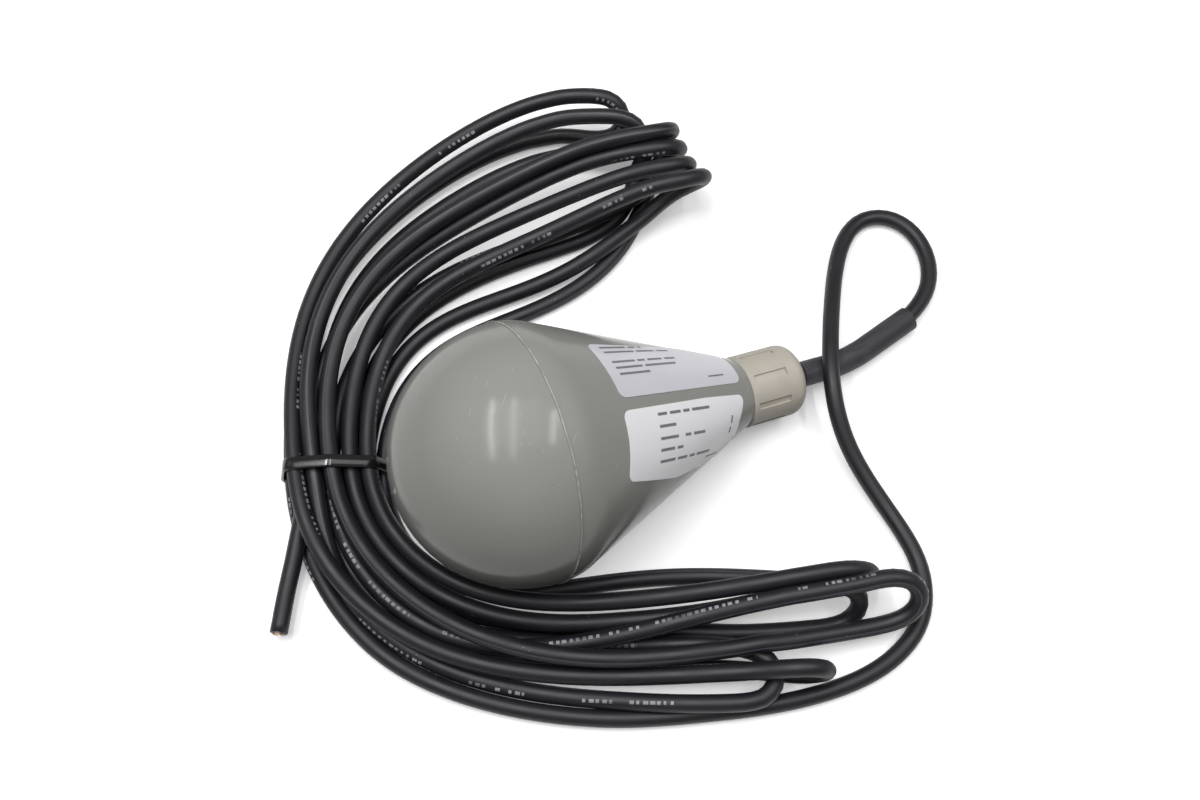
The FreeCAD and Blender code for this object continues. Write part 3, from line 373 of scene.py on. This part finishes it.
# each turn: strand that rises to the upper lobe, upper fold, strand that falls back, lower fold
# a strand is chosen at a few of the edges above, by its order across the hank in the photograph:
# percent of the width from inner to outer edge, and height in mm; strand() fills the edges between
# a bow is the wide bend some strands take before the fold
# a fold is the place of its tip, the heights where the cable comes in and goes out, and the step sideways
turns = [
    {"rise": {0: (113, 3.7), 3: (113, 3.7), 6: (99, 6), 8: (90, 8), 11: (85, 5)},
     "bow": [],
     "upper": (0.0655, 0.1416, 0.0055, 0.0225, 0.0110),
     "fall": {0: (90, 14), 2: (80, 12), 3: (70, 14), 6: (87, 15.5), 7: (97, 15.5), 11: (97, 20)},
     "lower": (0.0424, -0.1131, 0.0245, 0.0037, 0.0000)},
    {"rise": {0: (85, 3.7), 2: (70, 3.7), 6: (64, 5), 8: (75, 7.5), 11: (70, 9)},
     "bow": [],
     "upper": (0.0684, 0.1280, 0.0080, 0.0265, 0.0080),
     "fall": {0: (102, 13), 1: (102, 11), 3: (95, 6), 6: (66, 15.3), 7: (82, 19.5), 11: (82, 23.5)},
     "lower": (0.0247, -0.1054, 0.0130, 0.0108, 0.0205)},
    {"rise": {0: (45, 3.7), 3: (45, 3.7), 6: (30, 6), 7: (25, 4.5), 10: (30, 6.5)},
     "bow": [(0.0442, 0.0938, 0.0045), (0.0554, 0.1024, 0.0060), (0.0634, 0.1178, 0.0080)],
     "upper": (0.0819, 0.1248, 0.0100, 0.0300, -0.0075),
     "fall": {0: (65, 12), 2: (70, 20), 4: (20, 19), 6: (44, 16.4), 7: (60, 22), 11: (55, 29)},
     "lower": (0.0860, -0.1021, 0.0130, 0.0280, 0.0140)},
    {"rise": {0: (20, 26), 3: (60, 10), 6: (50, 9.7), 8: (35, 11.5), 10: (30, 13.5)},
     "bow": [(0.0488, 0.1018, 0.0130), (0.0633, 0.1067, 0.0130)],
     "upper": (0.0811, 0.1049, 0.0120, 0.0320, -0.0075),
     "fall": {0: (35, 17), 2: (40, 14.5), 4: (-10, 16), 6: (23, 13), 8: (45, 19), 11: (30, 29)},
     "lower": (0.0659, -0.0944, 0.0215, 0.0037, -0.0130)},
    {"rise": {0: (50, 4), 1: (50, 4), 3: (15, 4.5), 6: (8, 5), 8: (15, 7.5), 10: (5, 11.5)},
     "bow": [(0.0371, 0.0873, 0.0095), (0.0529, 0.0933, 0.0110), (0.0652, 0.0978, 0.0130)],
     "upper": (0.0840, 0.0959, 0.0140, 0.0340, -0.0075),
     "fall": {0: (20, 24), 2: (20, 21), 4: (-30, 19), 6: (1, 12.5), 8: (30, 18.5), 11: (15, 32.5)},
     "lower": (0.0744, -0.0860, 0.0250, 0.0037, 0.0000)},
    {"rise": {0: (-5, 3.7), 2: (-5, 3.7), 4: (-25, 5), 6: (-14, 5.5), 8: (-5, 4), 10: (0, 5.5)},
     "bow": [(0.0359, 0.0831, 0.0038), (0.0472, 0.0920, 0.0045), (0.0558, 0.1033, 0.0060),
             (0.0646, 0.1150, 0.0080)],
     "upper": (0.0824, 0.1167, 0.0070, 0.0270, -0.0075),
     "fall": {6: (80, 9.5), 8: (55, 16.5), 11: (50, 24.5)},
     "lower": None},
]


def strand(chosen, fromLow):
    marks = sorted(chosen)
    points = []
    for n, (inner, outer) in enumerate(cable["edges"]):
        percent, height = [float(np.interp(n, marks, [chosen[m][part] for m in marks])) for part in (0, 1)]
        inner, outer = Vector(inner), Vector(outer)
        inset = (outer - inner).normalized() * cable["radius"]
        spot = (inner + inset).lerp(outer - inset, percent / 100)
        points.append(Vector((spot.x, spot.y, height * mm)))
    return points if fromLow else points[::-1]


def foldSize(tip):
    return math.hypot(tip[3] - tip[2], tip[4]) / 2


def fold(tip, before, after):
    # in line with the strand that lies on top
    size = foldSize(tip)
    way = (Vector(tip[:2]) - (after if tip[3] > tip[2] else before).xy).normalized()
    side = Vector((-way.y, way.x))
    spot = Vector(tip[:2]) - way * size
    points = []
    for angle in (-90, -45, 0, 45, 90):
        reach = cable["foldAhead"] * math.cos(math.radians(angle))
        share = cable["foldApart"] * math.sin(math.radians(angle))
        ahead = spot + way * (size * reach) + side * (tip[4] * share)
        points.append(Vector((ahead.x, ahead.y, (tip[2] + tip[3]) / 2 + (tip[3] - tip[2]) * share)))
    return points


def clearOf(points, tip):
    # strands stop short of their fold; the other lobe is left as it is
    end = tip[0] - foldSize(tip) - cable["clear"]
    return [p for p in points if p.x < end or p.y * tip[1] < 0]


runs = []
for number, turn in enumerate(turns):
    rising = strand(turn["rise"], True)
    if turn["bow"]:
        rising = rising[:-1]
    rising = clearOf(rising, turn["upper"])
    if number == 0:
        rising = rising[cable["leadEdges"]:]  # the lead has already run along the lower lobe
    else:
        rising = clearOf(rising, turns[number - 1]["lower"])
    falling = clearOf(strand(turn["fall"], False), turn["upper"])
    if turn["lower"]:
        falling = clearOf(falling, turn["lower"])
    else:
        falling = falling[:-cable["tieEdge"]]
    runs += [(rising + [Vector(p) for p in turn["bow"]], turn["upper"]), (falling, turn["lower"])]
route = [Vector(p) for p in cable["leadRoute"]]
for number, (points, tip) in enumerate(runs):
    route += points
    if tip:
        route += fold(tip, points[-1], runs[number + 1][0][0])
route += [Vector(p) for p in cable["tailRoute"]]


def lineOf(points, name):
    data = bpy.data.curves.new(name, "CURVE")
    data.dimensions = "3D"
    spline = data.splines.new("NURBS")
    spline.points.add(len(points) - 1)
    for control, p in zip(spline.points, points):
        control.co = (*p, 1.0)
    spline.order_u = 3
    spline.use_endpoint_u = True
    spline.resolution_u = 10
    holder = bpy.data.objects.new(name, data)
    bpy.context.collection.objects.link(holder)
    bpy.context.view_layer.update()
    mesh = bpy.data.meshes.new_from_object(holder)
    line = np.array([v.co for v in mesh.vertices], float)
    bpy.data.objects.remove(holder)
    bpy.data.meshes.remove(mesh)
    return line


def evenly(line, step):
    done = np.concatenate([[0], np.cumsum(np.linalg.norm(np.diff(line, axis=0), axis=1))])
    marks = np.linspace(0, done[-1], int(round(done[-1] / step)) + 1)
    return np.stack([np.interp(marks, done, line[:, k]) for k in range(3)], axis=1)


laid = evenly(lineOf(route, "cable_route"), cable["step"])
print("cable route:", len(route), "points,", round(len(laid) * cable["step"], 3), "m")

# the turns settle on the floor, on each other and against the float, while the tie holds them together
settling = {"rounds": 420, "contact": 0.0071, "bend": 0.30, "longBend": 0.15, "hold": 0.004, "leadHold": 0.25,
            "tieHold": 0.10, "tieReach": 0.020, "tieHalf": 0.035, "foldHold": 0.15, "foldReach": 0.014,
            "sag": 0.00002, "push": 0.3, "pull": 0.45, "neighbours": 6, "pairsEvery": 10, "farStep": 4,
            "leadLength": 0.36, "tailLength": 0.025, "floatGap": 0.0003, "floorGap": 0.0001,
            "strapRoom": 0.0016, "strapReach": 0.010}
tieInner, tieOuter = [np.array(p) for p in cable["edges"][cable["tieEdge"]]]
tieCentre = (tieInner + tieOuter) / 2
tieAcross = (tieOuter - tieInner) / np.linalg.norm(tieOuter - tieInner)
tieAlong = np.array([-tieAcross[1], tieAcross[0]])


def closePairs(points, reach):
    # in slices, to spare memory; neighbours along the cable don't count
    first, second = [], []
    squares = (points ** 2).sum(axis=1)
    sliceSize = 400
    for start in range(0, len(points), sliceSize):
        part = points[start:start + sliceSize]
        apart = squares[start:start + sliceSize, None] + squares[None, :] - 2 * part @ points.T
        i, j = np.nonzero(apart < reach ** 2)
        keep = j - (i + start) > settling["neighbours"]
        first.append(i[keep] + start)
        second.append(j[keep])
    return np.concatenate(first), np.concatenate(second)


def nearTie(points, reach):
    flat = points[:, :2] - tieCentre
    return np.exp(-((flat @ tieAlong) / reach) ** 2) * (np.abs(flat @ tieAcross) < settling["tieHalf"])


def keepOut(points):
    centre, axis = np.array(floatBody["centre"]), np.array(along)
    grow = cable["radius"] + settling["floatGap"]
    away = points - centre
    t = away @ axis
    size = np.linalg.norm(away, axis=1)
    ball = (t <= 0) & (size < floatBody["bulbRadius"] + grow)
    points[ball] += away[ball] * ((floatBody["bulbRadius"] + grow) / size[ball] - 1)[:, None]
    radial = away - t[:, None] * axis
    wide = np.linalg.norm(radial, axis=1)
    lean = floatBody["coneAngle"]
    need = np.minimum(floatBody["bulbRadius"], coneRadius(0) - t * math.tan(lean)) + grow / math.cos(lean)
    cone = (t > 0) & (t < floatBody["coneLength"]) & (wide < need)
    points[cone] += radial[cone] * (need[cone] / wide[cone] - 1)[:, None]
    strapUnder = settling["strapRoom"] * nearTie(points, settling["strapReach"])
    points[:, 2] = np.maximum(points[:, 2], cable["radius"] + settling["floorGap"] + strapUnder)


def evened(points, s):
    # where each point would lie on a smooth bend through the points one and two steps away
    return (4 * (points[s:-3 * s] + points[3 * s:-s]) - points[:-4 * s] - points[4 * s:]) / 6


def settle(line):
    points = line.copy()
    count = len(points)
    leadCount = int(settling["leadLength"] / cable["step"])
    tailCount = int(settling["tailLength"] / cable["step"])
    far = settling["farStep"]
    inner = slice(2 * far, -2 * far)
    hold = settling["hold"] + settling["tieHold"] * nearTie(line, settling["tieReach"])
    free = np.ones(count)
    for turn in turns:
        for tip in (turn["upper"], turn["lower"]):
            if tip:
                middle = np.array((tip[0] - foldSize(tip), tip[1], (tip[2] + tip[3]) / 2))
                near = np.linalg.norm(line - middle, axis=1) < foldSize(tip) + settling["foldReach"]
                hold[near] = settling["foldHold"]
                free[near] = 0.0
    hold[:leadCount] = settling["leadHold"]
    hold[-tailCount:] = settling["leadHold"]
    length = np.linalg.norm(np.diff(line, axis=0), axis=1)
    for n in range(settling["rounds"]):
        if n % settling["pairsEvery"] == 0:
            i, j = closePairs(points, 2 * settling["contact"])
        points[:, 2] -= settling["sag"]
        points += hold[:, None] * (line - points)
        points[2:-2] += settling["bend"] * (evened(points, 1) - points[2:-2])
        points[inner] += settling["longBend"] * free[inner, None] * (evened(points, far) - points[inner])
        for repeat in range(2):
            gap = points[j] - points[i]
            size = np.maximum(np.linalg.norm(gap, axis=1), 1e-6)
            push = gap * (settling["push"] * np.maximum(settling["contact"] - size, 0) / size)[:, None]
            for k in range(3):
                points[:, k] += np.bincount(j, push[:, k], count) - np.bincount(i, push[:, k], count)
            step = points[1:] - points[:-1]
            size = np.linalg.norm(step, axis=1)
            pull = step * (settling["pull"] * (size - length) / size)[:, None]
            points[:-1] += pull
            points[1:] -= pull
            keepOut(points)
    return points


# the settled turns become control points of the cable's final spline, which the tube follows
settled = evenly(lineOf(settle(laid)[::2], "cable_settled"), cable["step"])
i, j = closePairs(settled, settling["contact"])
apart = np.linalg.norm(settled[i] - settled[j], axis=1)
print("closest strands %.2f mm" % (apart.min() / mm))


def tube(name, line, radius, sides, material, twist, rollName):
    way = np.gradient(line, axis=0)
    way /= np.linalg.norm(way, axis=1)[:, None]
    side = np.array([0.0, 0.0, 1.0])
    points = []
    done = np.concatenate([[0], np.cumsum(np.linalg.norm(np.diff(line, axis=0), axis=1))])
    for n, p in enumerate(line):
        side = side - way[n] * (side @ way[n])
        side /= np.linalg.norm(side)
        other = np.cross(way[n], side)
        for k in range(sides):
            angle = 2 * math.pi * k / sides
            points.append(p + radius * (side * math.cos(angle) + other * math.sin(angle)))
    faces = []
    rolls = []
    for n in range(len(line) - 1):
        for k in range(sides):
            after = (k + 1) % sides
            a, b = n * sides, (n + 1) * sides
            faces.append((a + k, a + after, b + after, b + k))
            rolls += [(done[n], k / sides + twist[n]), (done[n], (k + 1) / sides + twist[n]),
                      (done[n + 1], (k + 1) / sides + twist[n + 1]), (done[n + 1], k / sides + twist[n + 1])]
    last = (len(line) - 1) * sides
    faces.append(tuple(range(sides))[::-1])
    faces.append(tuple(range(last, last + sides)))
    rolls += [(0.0, 0.0)] * (2 * sides)
    obj = addMesh(name, points, faces, material)
    layer = obj.data.uv_layers.new(name=rollName)
    layer.data.foreach_set("uv", np.array(rolls, np.float32).ravel())
    return obj


marks = np.arange(len(settled)) * cable["step"]
wander = cable["printMiddle"]
for share, waves, start in cable["printWaves"]:
    wander = wander + share * np.sin(marks * waves + start)
cord = tube("cable", settled, cable["radius"], cable["sides"], sheath, wander, "sheathRoll")
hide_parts("cable_lead", "cable_hank", "cable_tail")
print("cable built:", len(cord.data.polygons), "faces")

# weld bead: thin, pale and uneven, squeezed out round the widest part of the casing
bead = {"radius": 0.0501, "middle": -0.0004, "halfWidth": 0.0003, "height": 0.0004, "steps": 900, "sides": 8,
        "lumpMm": 2.0, "lumpMiddle": 0.5, "lumpDepth": 0.9, "patchy": 0.6, "swayMm": 9.0, "sway": 0.00018,
        "heightShare": (0.5, 0.6), "widthShare": (0.8, 0.5)}
points, faces = [], []
for n in range(bead["steps"]):
    turn = 2 * math.pi * n / bead["steps"]
    spot = Vector((math.cos(turn), math.sin(turn), 0)) * (bead["radius"] / mm)
    slow = noise.noise(spot / bead["swayMm"])
    quick = noise.noise(spot / bead["lumpMm"])
    lump = bead["lumpMiddle"] + bead["lumpDepth"] * quick * (bead["patchy"] + slow)
    sway = bead["sway"] * slow
    high = bead["height"] * (bead["heightShare"][0] + bead["heightShare"][1] * lump)
    wide = bead["halfWidth"] * (bead["widthShare"][0] + bead["widthShare"][1] * lump)
    for k in range(bead["sides"]):
        angle = 2 * math.pi * k / bead["sides"]
        out = bead["radius"] + high * math.cos(angle)
        z = bead["middle"] + sway + wide * math.sin(angle)
        points.append(onFloat(out * math.cos(turn), out * math.sin(turn), z))
        after, nextRing = (k + 1) % bead["sides"], (n + 1) % bead["steps"]
        faces.append((n * bead["sides"] + k, n * bead["sides"] + after,
                      nextRing * bead["sides"] + after, nextRing * bead["sides"] + k))
weld = addMesh("weld_bead", points, faces, weldFlash)

# plain bars where the labels carry print, in mm: start from the bulb's end, down from the upper edge,
# length and height
labelPrint = {
    "label_white": {"offset": 21.0, "bars": [
        (17, 3.0, 5, 1.1), (23.5, 3.0, 6, 1.1), (31, 3.0, 3.5, 1.1), (36, 3.0, 10, 1.1), (17, 7.4, 9, 1.1),
        (17, 11.8, 10, 1.1), (31, 11.8, 3.4, 1.1), (36, 11.8, 7, 1.1), (17, 16.0, 8, 1.1),
        (26.5, 16.0, 3.5, 1.1), (17, 20.2, 9, 1.1), (27.5, 20.2, 6, 1.1), (35, 20.2, 3.4, 1.1),
        (39.8, 20.2, 9, 1.1), (48, 22.9, 9, 0.7), (59.5, 9.0, 1.0, 3.0), (59.5, 13.2, 1.0, 2.4)]},
    "label_silver": {"offset": -9.2, "bars": [
        (5, 2.6, 14, 1.0), (20.5, 2.6, 4, 1.0), (26, 2.6, 2, 1.0), (5, 5.4, 16, 1.0), (22.5, 5.4, 10, 1.0),
        (34, 5.4, 7, 1.0), (5, 10.6, 12, 1.0), (18.5, 10.6, 4, 1.0), (24, 10.6, 8, 1.0), (33.5, 10.6, 6, 1.0),
        (5, 13.4, 14, 1.0), (20.5, 13.4, 17, 1.0), (5, 16.2, 16, 1.0), (50, 21.4, 9, 0.7)]},
}
film = {"long": 67.0, "high": 25.5, "near": 77.5, "tilt": math.radians(2.5), "lift": 0.29, "column": 1.5}
apex = coneRadius(0) / math.tan(floatBody["coneAngle"]) / mm


def onFilm(x, y, offset):
    # x from the bulb's end of the film, y down from its upper edge, wrapped on the cone
    ahead, aside = film["long"] / 2 - x, y - film["high"] / 2
    across = film["near"] + ahead * math.cos(film["tilt"]) - aside * math.sin(film["tilt"])
    aside = offset + ahead * math.sin(film["tilt"]) + aside * math.cos(film["tilt"])
    lean = floatBody["coneAngle"]
    slant, turn = math.hypot(across, aside), math.atan2(aside, across) / math.sin(lean)
    out = slant * math.sin(lean) + film["lift"] / math.cos(lean)
    return onFloat(out * math.cos(turn) * mm, out * math.sin(turn) * mm, (apex - slant * math.cos(lean)) * mm)


for node, sheet in labelPrint.items():
    points, faces = [], []
    for x, y, long, high in sheet["bars"]:
        columns = max(2, int(long / film["column"]))
        for n in range(columns + 1):
            for share in (-0.5, 0.0, 0.5):
                points.append(onFilm(x + long * n / columns, y + high * share, sheet["offset"]))
        first = len(points) - 3 * (columns + 1)
        for n in range(columns):
            for row in (0, 1):
                a = first + 3 * n + row
                faces.append((a, a + 1, a + 4, a + 3))
    bars = addMesh(node + "_bars", points, faces, finishes["label printing ink"])
print("weld bead and label bars built")

# nylon tie: strap drawn tight round the strands as they lie at the tie, head low on the inner side
strap = {"thick": 0.0012, "width": 0.0052, "round": 0.0004, "points": 160, "gap": 0.0001, "around": 40,
         "floorGap": 0.0003, "head": (0.0045, 0.0060, 0.0065), "headGap": 0.0002, "headTaper": 0.82,
         "stub": 0.006, "stubShare": 0.9, "stubUp": 0.0055, "stubTaper": 0.9}
crossing = []
offPlane = (settled[:, :2] - tieCentre) @ tieAlong
for n in np.nonzero(offPlane[:-1] * offPlane[1:] < 0)[0]:
    spot = settled[n] + (settled[n + 1] - settled[n]) * (offPlane[n] / (offPlane[n] - offPlane[n + 1]))
    u = float((spot[:2] - tieCentre) @ tieAcross)
    if abs(u) < settling["tieHalf"]:
        crossing.append((u, float(spot[2])))
reach = cable["radius"] + strap["gap"]
rim = sorted((u + reach * math.cos(a), z + reach * math.sin(a))
             for u, z in crossing for a in np.linspace(0, 2 * math.pi, strap["around"], endpoint=False))


def halfHull(ordered):
    kept = []
    for q in ordered:
        while len(kept) > 1 and ((kept[-1][0] - kept[-2][0]) * (q[1] - kept[-2][1])
                                 <= (kept[-1][1] - kept[-2][1]) * (q[0] - kept[-2][0])):
            kept.pop()
        kept.append(q)
    return kept[:-1]


hull = halfHull(rim) + halfHull(rim[::-1])
loop = evenly(np.array([(u, z, 0.0) for u, z in hull + hull[:1]]),
              sum(math.dist(a, b) for a, b in zip(hull, hull[1:] + hull[:1])) / strap["points"])[:-1, :2]
for n in range(2):
    loop = (np.roll(loop, 1, axis=0) + 2 * loop + np.roll(loop, -1, axis=0)) / 4
way = np.roll(loop, -1, axis=0) - np.roll(loop, 1, axis=0)
outward = np.stack([way[:, 1], -way[:, 0]], axis=1) / np.linalg.norm(way, axis=1)[:, None]
thick, half, soft = strap["thick"], strap["width"] / 2, strap["round"]
section = [(0, -half), (thick - soft, -half), (thick, -half + soft), (thick, 0), (thick, half - soft),
           (thick - soft, half), (0, half), (0, 0)]
points, faces = [], []
for n in range(len(loop)):
    for out, side in section:
        u, z = loop[n] + outward[n] * out
        flat = tieCentre + tieAcross * u + tieAlong * side
        points.append((flat[0], flat[1], max(z, strap["floorGap"])))
    for k in range(len(section)):
        after, nextRing = (k + 1) % len(section), (n + 1) % len(loop)
        faces.append((n * len(section) + k, n * len(section) + after,
                      nextRing * len(section) + after, nextRing * len(section) + k))
innermost = int(np.argmin(loop[:, 0]))
headSpot = loop[innermost] + np.array((-strap["head"][0] / 2 - strap["headGap"], 0.0))
stubBlock = (strap["thick"], strap["width"] * strap["stubShare"], strap["stub"])
corners = [(-0.5, -0.4), (-0.4, -0.5), (0.4, -0.5), (0.5, -0.4),
           (0.5, 0.4), (0.4, 0.5), (-0.4, 0.5), (-0.5, 0.4)]
sides = len(corners)
for block, spotZ, taper in ((strap["head"], headSpot[1], strap["headTaper"]),
                            (stubBlock, headSpot[1] + strap["stubUp"], strap["stubTaper"])):
    first = len(points)
    levels = ((-0.5, taper), (-0.38, 1.0), (0.38, 1.0), (0.5, taper))
    for level, share in levels:
        for across, side in corners:
            flat = (tieCentre + tieAcross * (headSpot[0] + across * share * block[0])
                    + tieAlong * (side * share * block[1]))
            points.append((flat[0], flat[1], spotZ + level * block[2]))
    for level in range(len(levels) - 1):
        a, b = first + sides * level, first + sides * (level + 1)
        for k in range(sides):
            faces.append((a + k, a + (k + 1) % sides, b + (k + 1) % sides, b + k))
    faces.append(tuple(range(first, first + sides))[::-1])
    faces.append(tuple(range(b, b + sides)))
tie = addMesh("cable_tie_strap", points, faces, finishes["moulded black nylon"])
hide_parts("cable_tie")

# cut end: three cores a little proud of the sheath, each with its wires
cut = {"cores": 3, "ring": 0.00165, "coreRadius": 0.00135, "sunk": 0.0006, "proud": 0.0005, "shoulder": 0.7,
       "coreTaper": 0.86, "wires": 6, "wireRadius": 0.00036, "wireRing": 0.00072, "wireTaper": 0.6,
       "uneven": 0.0001, "tip": 0.0002, "twist": 17, "sides": 14}
endWay = settled[-1] - settled[-4]
endWay /= np.linalg.norm(endWay)
endSide = np.cross(endWay, (0.0, 0.0, 1.0))
endSide /= np.linalg.norm(endSide)
endUp = np.cross(endSide, endWay)


def roundEnd(angle):
    return endSide * math.cos(angle) + endUp * math.sin(angle)


def addStub(points, faces, middle, radius, steps):
    # a round end: how far ahead each ring lies, and its share of the radius
    first, sides = len(points), cut["sides"]
    for ahead, share in steps:
        for k in range(sides):
            points.append(middle + endWay * ahead + roundEnd(2 * math.pi * k / sides) * radius * share)
    for level in range(len(steps) - 1):
        a, b = first + sides * level, first + sides * (level + 1)
        faces += [(a + k, a + (k + 1) % sides, b + (k + 1) % sides, b + k) for k in range(sides)]
    faces += [tuple(range(first, first + sides))[::-1], tuple(range(b, b + sides))]


def wireSteps(longer):
    ahead = cut["proud"] + longer * cut["uneven"]
    return (0, 1.0), (ahead, 1.0), (ahead + cut["tip"], cut["wireTaper"])


coreSteps = (-cut["sunk"], 1.0), (cut["shoulder"] * cut["proud"], 1.0), (cut["proud"], cut["coreTaper"])
insulation, wires = ([], []), ([], [])
for n in range(cut["cores"]):
    core = settled[-1] + roundEnd(math.radians(90 + 360 / cut["cores"] * n)) * cut["ring"]
    addStub(*insulation, core, cut["coreRadius"], coreSteps)
    addStub(*wires, core, cut["wireRadius"], wireSteps(1))
    for w in range(cut["wires"]):
        spin = math.radians(360 / cut["wires"] * w + cut["twist"] * n)
        addStub(*wires, core + roundEnd(spin) * cut["wireRing"], cut["wireRadius"], wireSteps(w % 3))
insulationEnd = addMesh("cut_end_insulation", *insulation, finishes["cut core insulation"])
wireEnd = addMesh("cut_end_wires", *wires, finishes["tinned copper strand"])
print("tie and cut end built:", len(crossing), "strands in the tie")

# floor, light and camera
stage = {"floor": "#F4F4F4", "fibre": "#F7F7F7", "fibreScale": 60.0, "bounce": "#2C2C2C", "lift": 0.30,
         "half": 3.0, "world": "#FFFFFF", "worldStrength": 0.012, "backdrop": 0.32}


def seenDirectly(tree):
    # 1 where the camera, a mirror or a clear piece looks, 0 for scattered light
    rays = addNode(tree, "LightPath").outputs
    found = rays["Is Camera Ray"]
    for kind in ("Is Glossy Ray", "Is Transmission Ray"):
        found = addNode(tree, "Math", {0: found, 1: rays[kind]}, operation="MAXIMUM").outputs[0]
    return found


floorPaint, tree, shader, place = startMaterial("matte white board", Roughness=0.9)
fibre = addNode(tree, "TexNoise", {"Vector": place, "Scale": stage["fibreScale"], "Detail": 2.0})
tint = addNode(tree, "Mix", {0: fibre.outputs[0], 6: linear(stage["fibre"]), 7: linear(stage["floor"])},
               data_type="RGBA")
direct = seenDirectly(tree)
shown = addNode(tree, "Mix", {0: direct, 6: linear(stage["bounce"]), 7: tint.outputs[2]}, data_type="RGBA")
tree.links.new(shown.outputs[2], shader.inputs["Base Color"])
shader.inputs["Emission Color"].default_value = linear(stage["world"])
lifted = addNode(tree, "Math", {0: direct, 1: stage["lift"]}, operation="MULTIPLY")
tree.links.new(lifted.outputs[0], shader.inputs["Emission Strength"])
floorCorners = [(x * stage["half"], y * stage["half"], 0) for x, y in ((-1, -1), (1, -1), (1, 1), (-1, 1))]
floorMesh = bpy.data.meshes.new("floor")
floorMesh.from_pydata(floorCorners, [], [(0, 1, 2, 3)])
floor = bpy.data.objects.new("floor", floorMesh)
bpy.context.collection.objects.link(floor)
paint(floor, floorPaint)

world = bpy.data.worlds.new("studio")
world.use_nodes = True
bpy.context.scene.world = world
tree = world.node_tree
sky = tree.nodes["Background"]
sky.inputs["Color"].default_value = linear(stage["world"])
glow = addNode(tree, "MapRange", {0: seenDirectly(tree), 3: stage["worldStrength"], 4: stage["backdrop"]})
tree.links.new(glow.outputs[0], sky.inputs["Strength"])

# a wide panel and three tubes overhead and a soft box on each side, turned with the photograph's view;
# places are right and up in it, and the tilt turns a box towards the object
lampTurn = math.radians(-22.4)
lamps = {
    "panel": {"right": -0.12, "up": 0.14, "height": 1.25, "size": (1.0, 0.8), "power": 6.0, "tilt": 0},
    "boxLeft": {"right": -1.1, "up": 0.30, "height": 0.95, "size": (0.7, 0.9), "power": 1.0, "tilt": -50},
    "boxRight": {"right": 1.1, "up": 0.30, "height": 0.95, "size": (0.7, 0.9), "power": 1.6, "tilt": 50},
    "tubeLeft": {"right": -0.47, "up": 0.03, "height": 1.2, "size": (0.022, 1.05), "power": 6.2, "tilt": 0},
    "tubeMiddle": {"right": -0.10, "up": 0.03, "height": 1.2, "size": (0.03, 1.05), "power": 3.6, "tilt": 0},
    "tubeRight": {"right": 0.58, "up": 0.09, "height": 1.2, "size": (0.03, 0.60), "power": 4.6, "tilt": 0},
}
for name, lamp in lamps.items():
    data = bpy.data.lights.new(name, "AREA")
    data.shape = "RECTANGLE"
    data.size, data.size_y = lamp["size"]
    data.energy = lamp["power"]
    light = bpy.data.objects.new(name, data)
    turned = Matrix.Rotation(lampTurn, 3, "Z") @ Vector((lamp["right"], lamp["up"], 0))
    light.location = (turned.x, turned.y, lamp["height"])
    light.rotation_euler = (0, math.radians(lamp["tilt"]), lampTurn)
    bpy.context.collection.objects.link(light)

camera = {"place": Vector((-0.0635, -0.1431, 0.4772)), "target": Vector((-0.0021, 0.0060, 0.0571)),
          "lens": 36.27, "sensor": 36}
cameraData = bpy.data.cameras.new("camera")
cameraData.lens = camera["lens"]
cameraData.sensor_width = camera["sensor"]
cameraObject = bpy.data.objects.new("camera", cameraData)
cameraObject.location = camera["place"]
cameraObject.rotation_euler = (camera["target"] - camera["place"]).to_track_quat("-Z", "Y").to_euler()
bpy.context.collection.objects.link(cameraObject)
bpy.context.scene.camera = cameraObject
bpy.context.scene.view_settings.view_transform = "Standard"
print("floor, light and camera set")
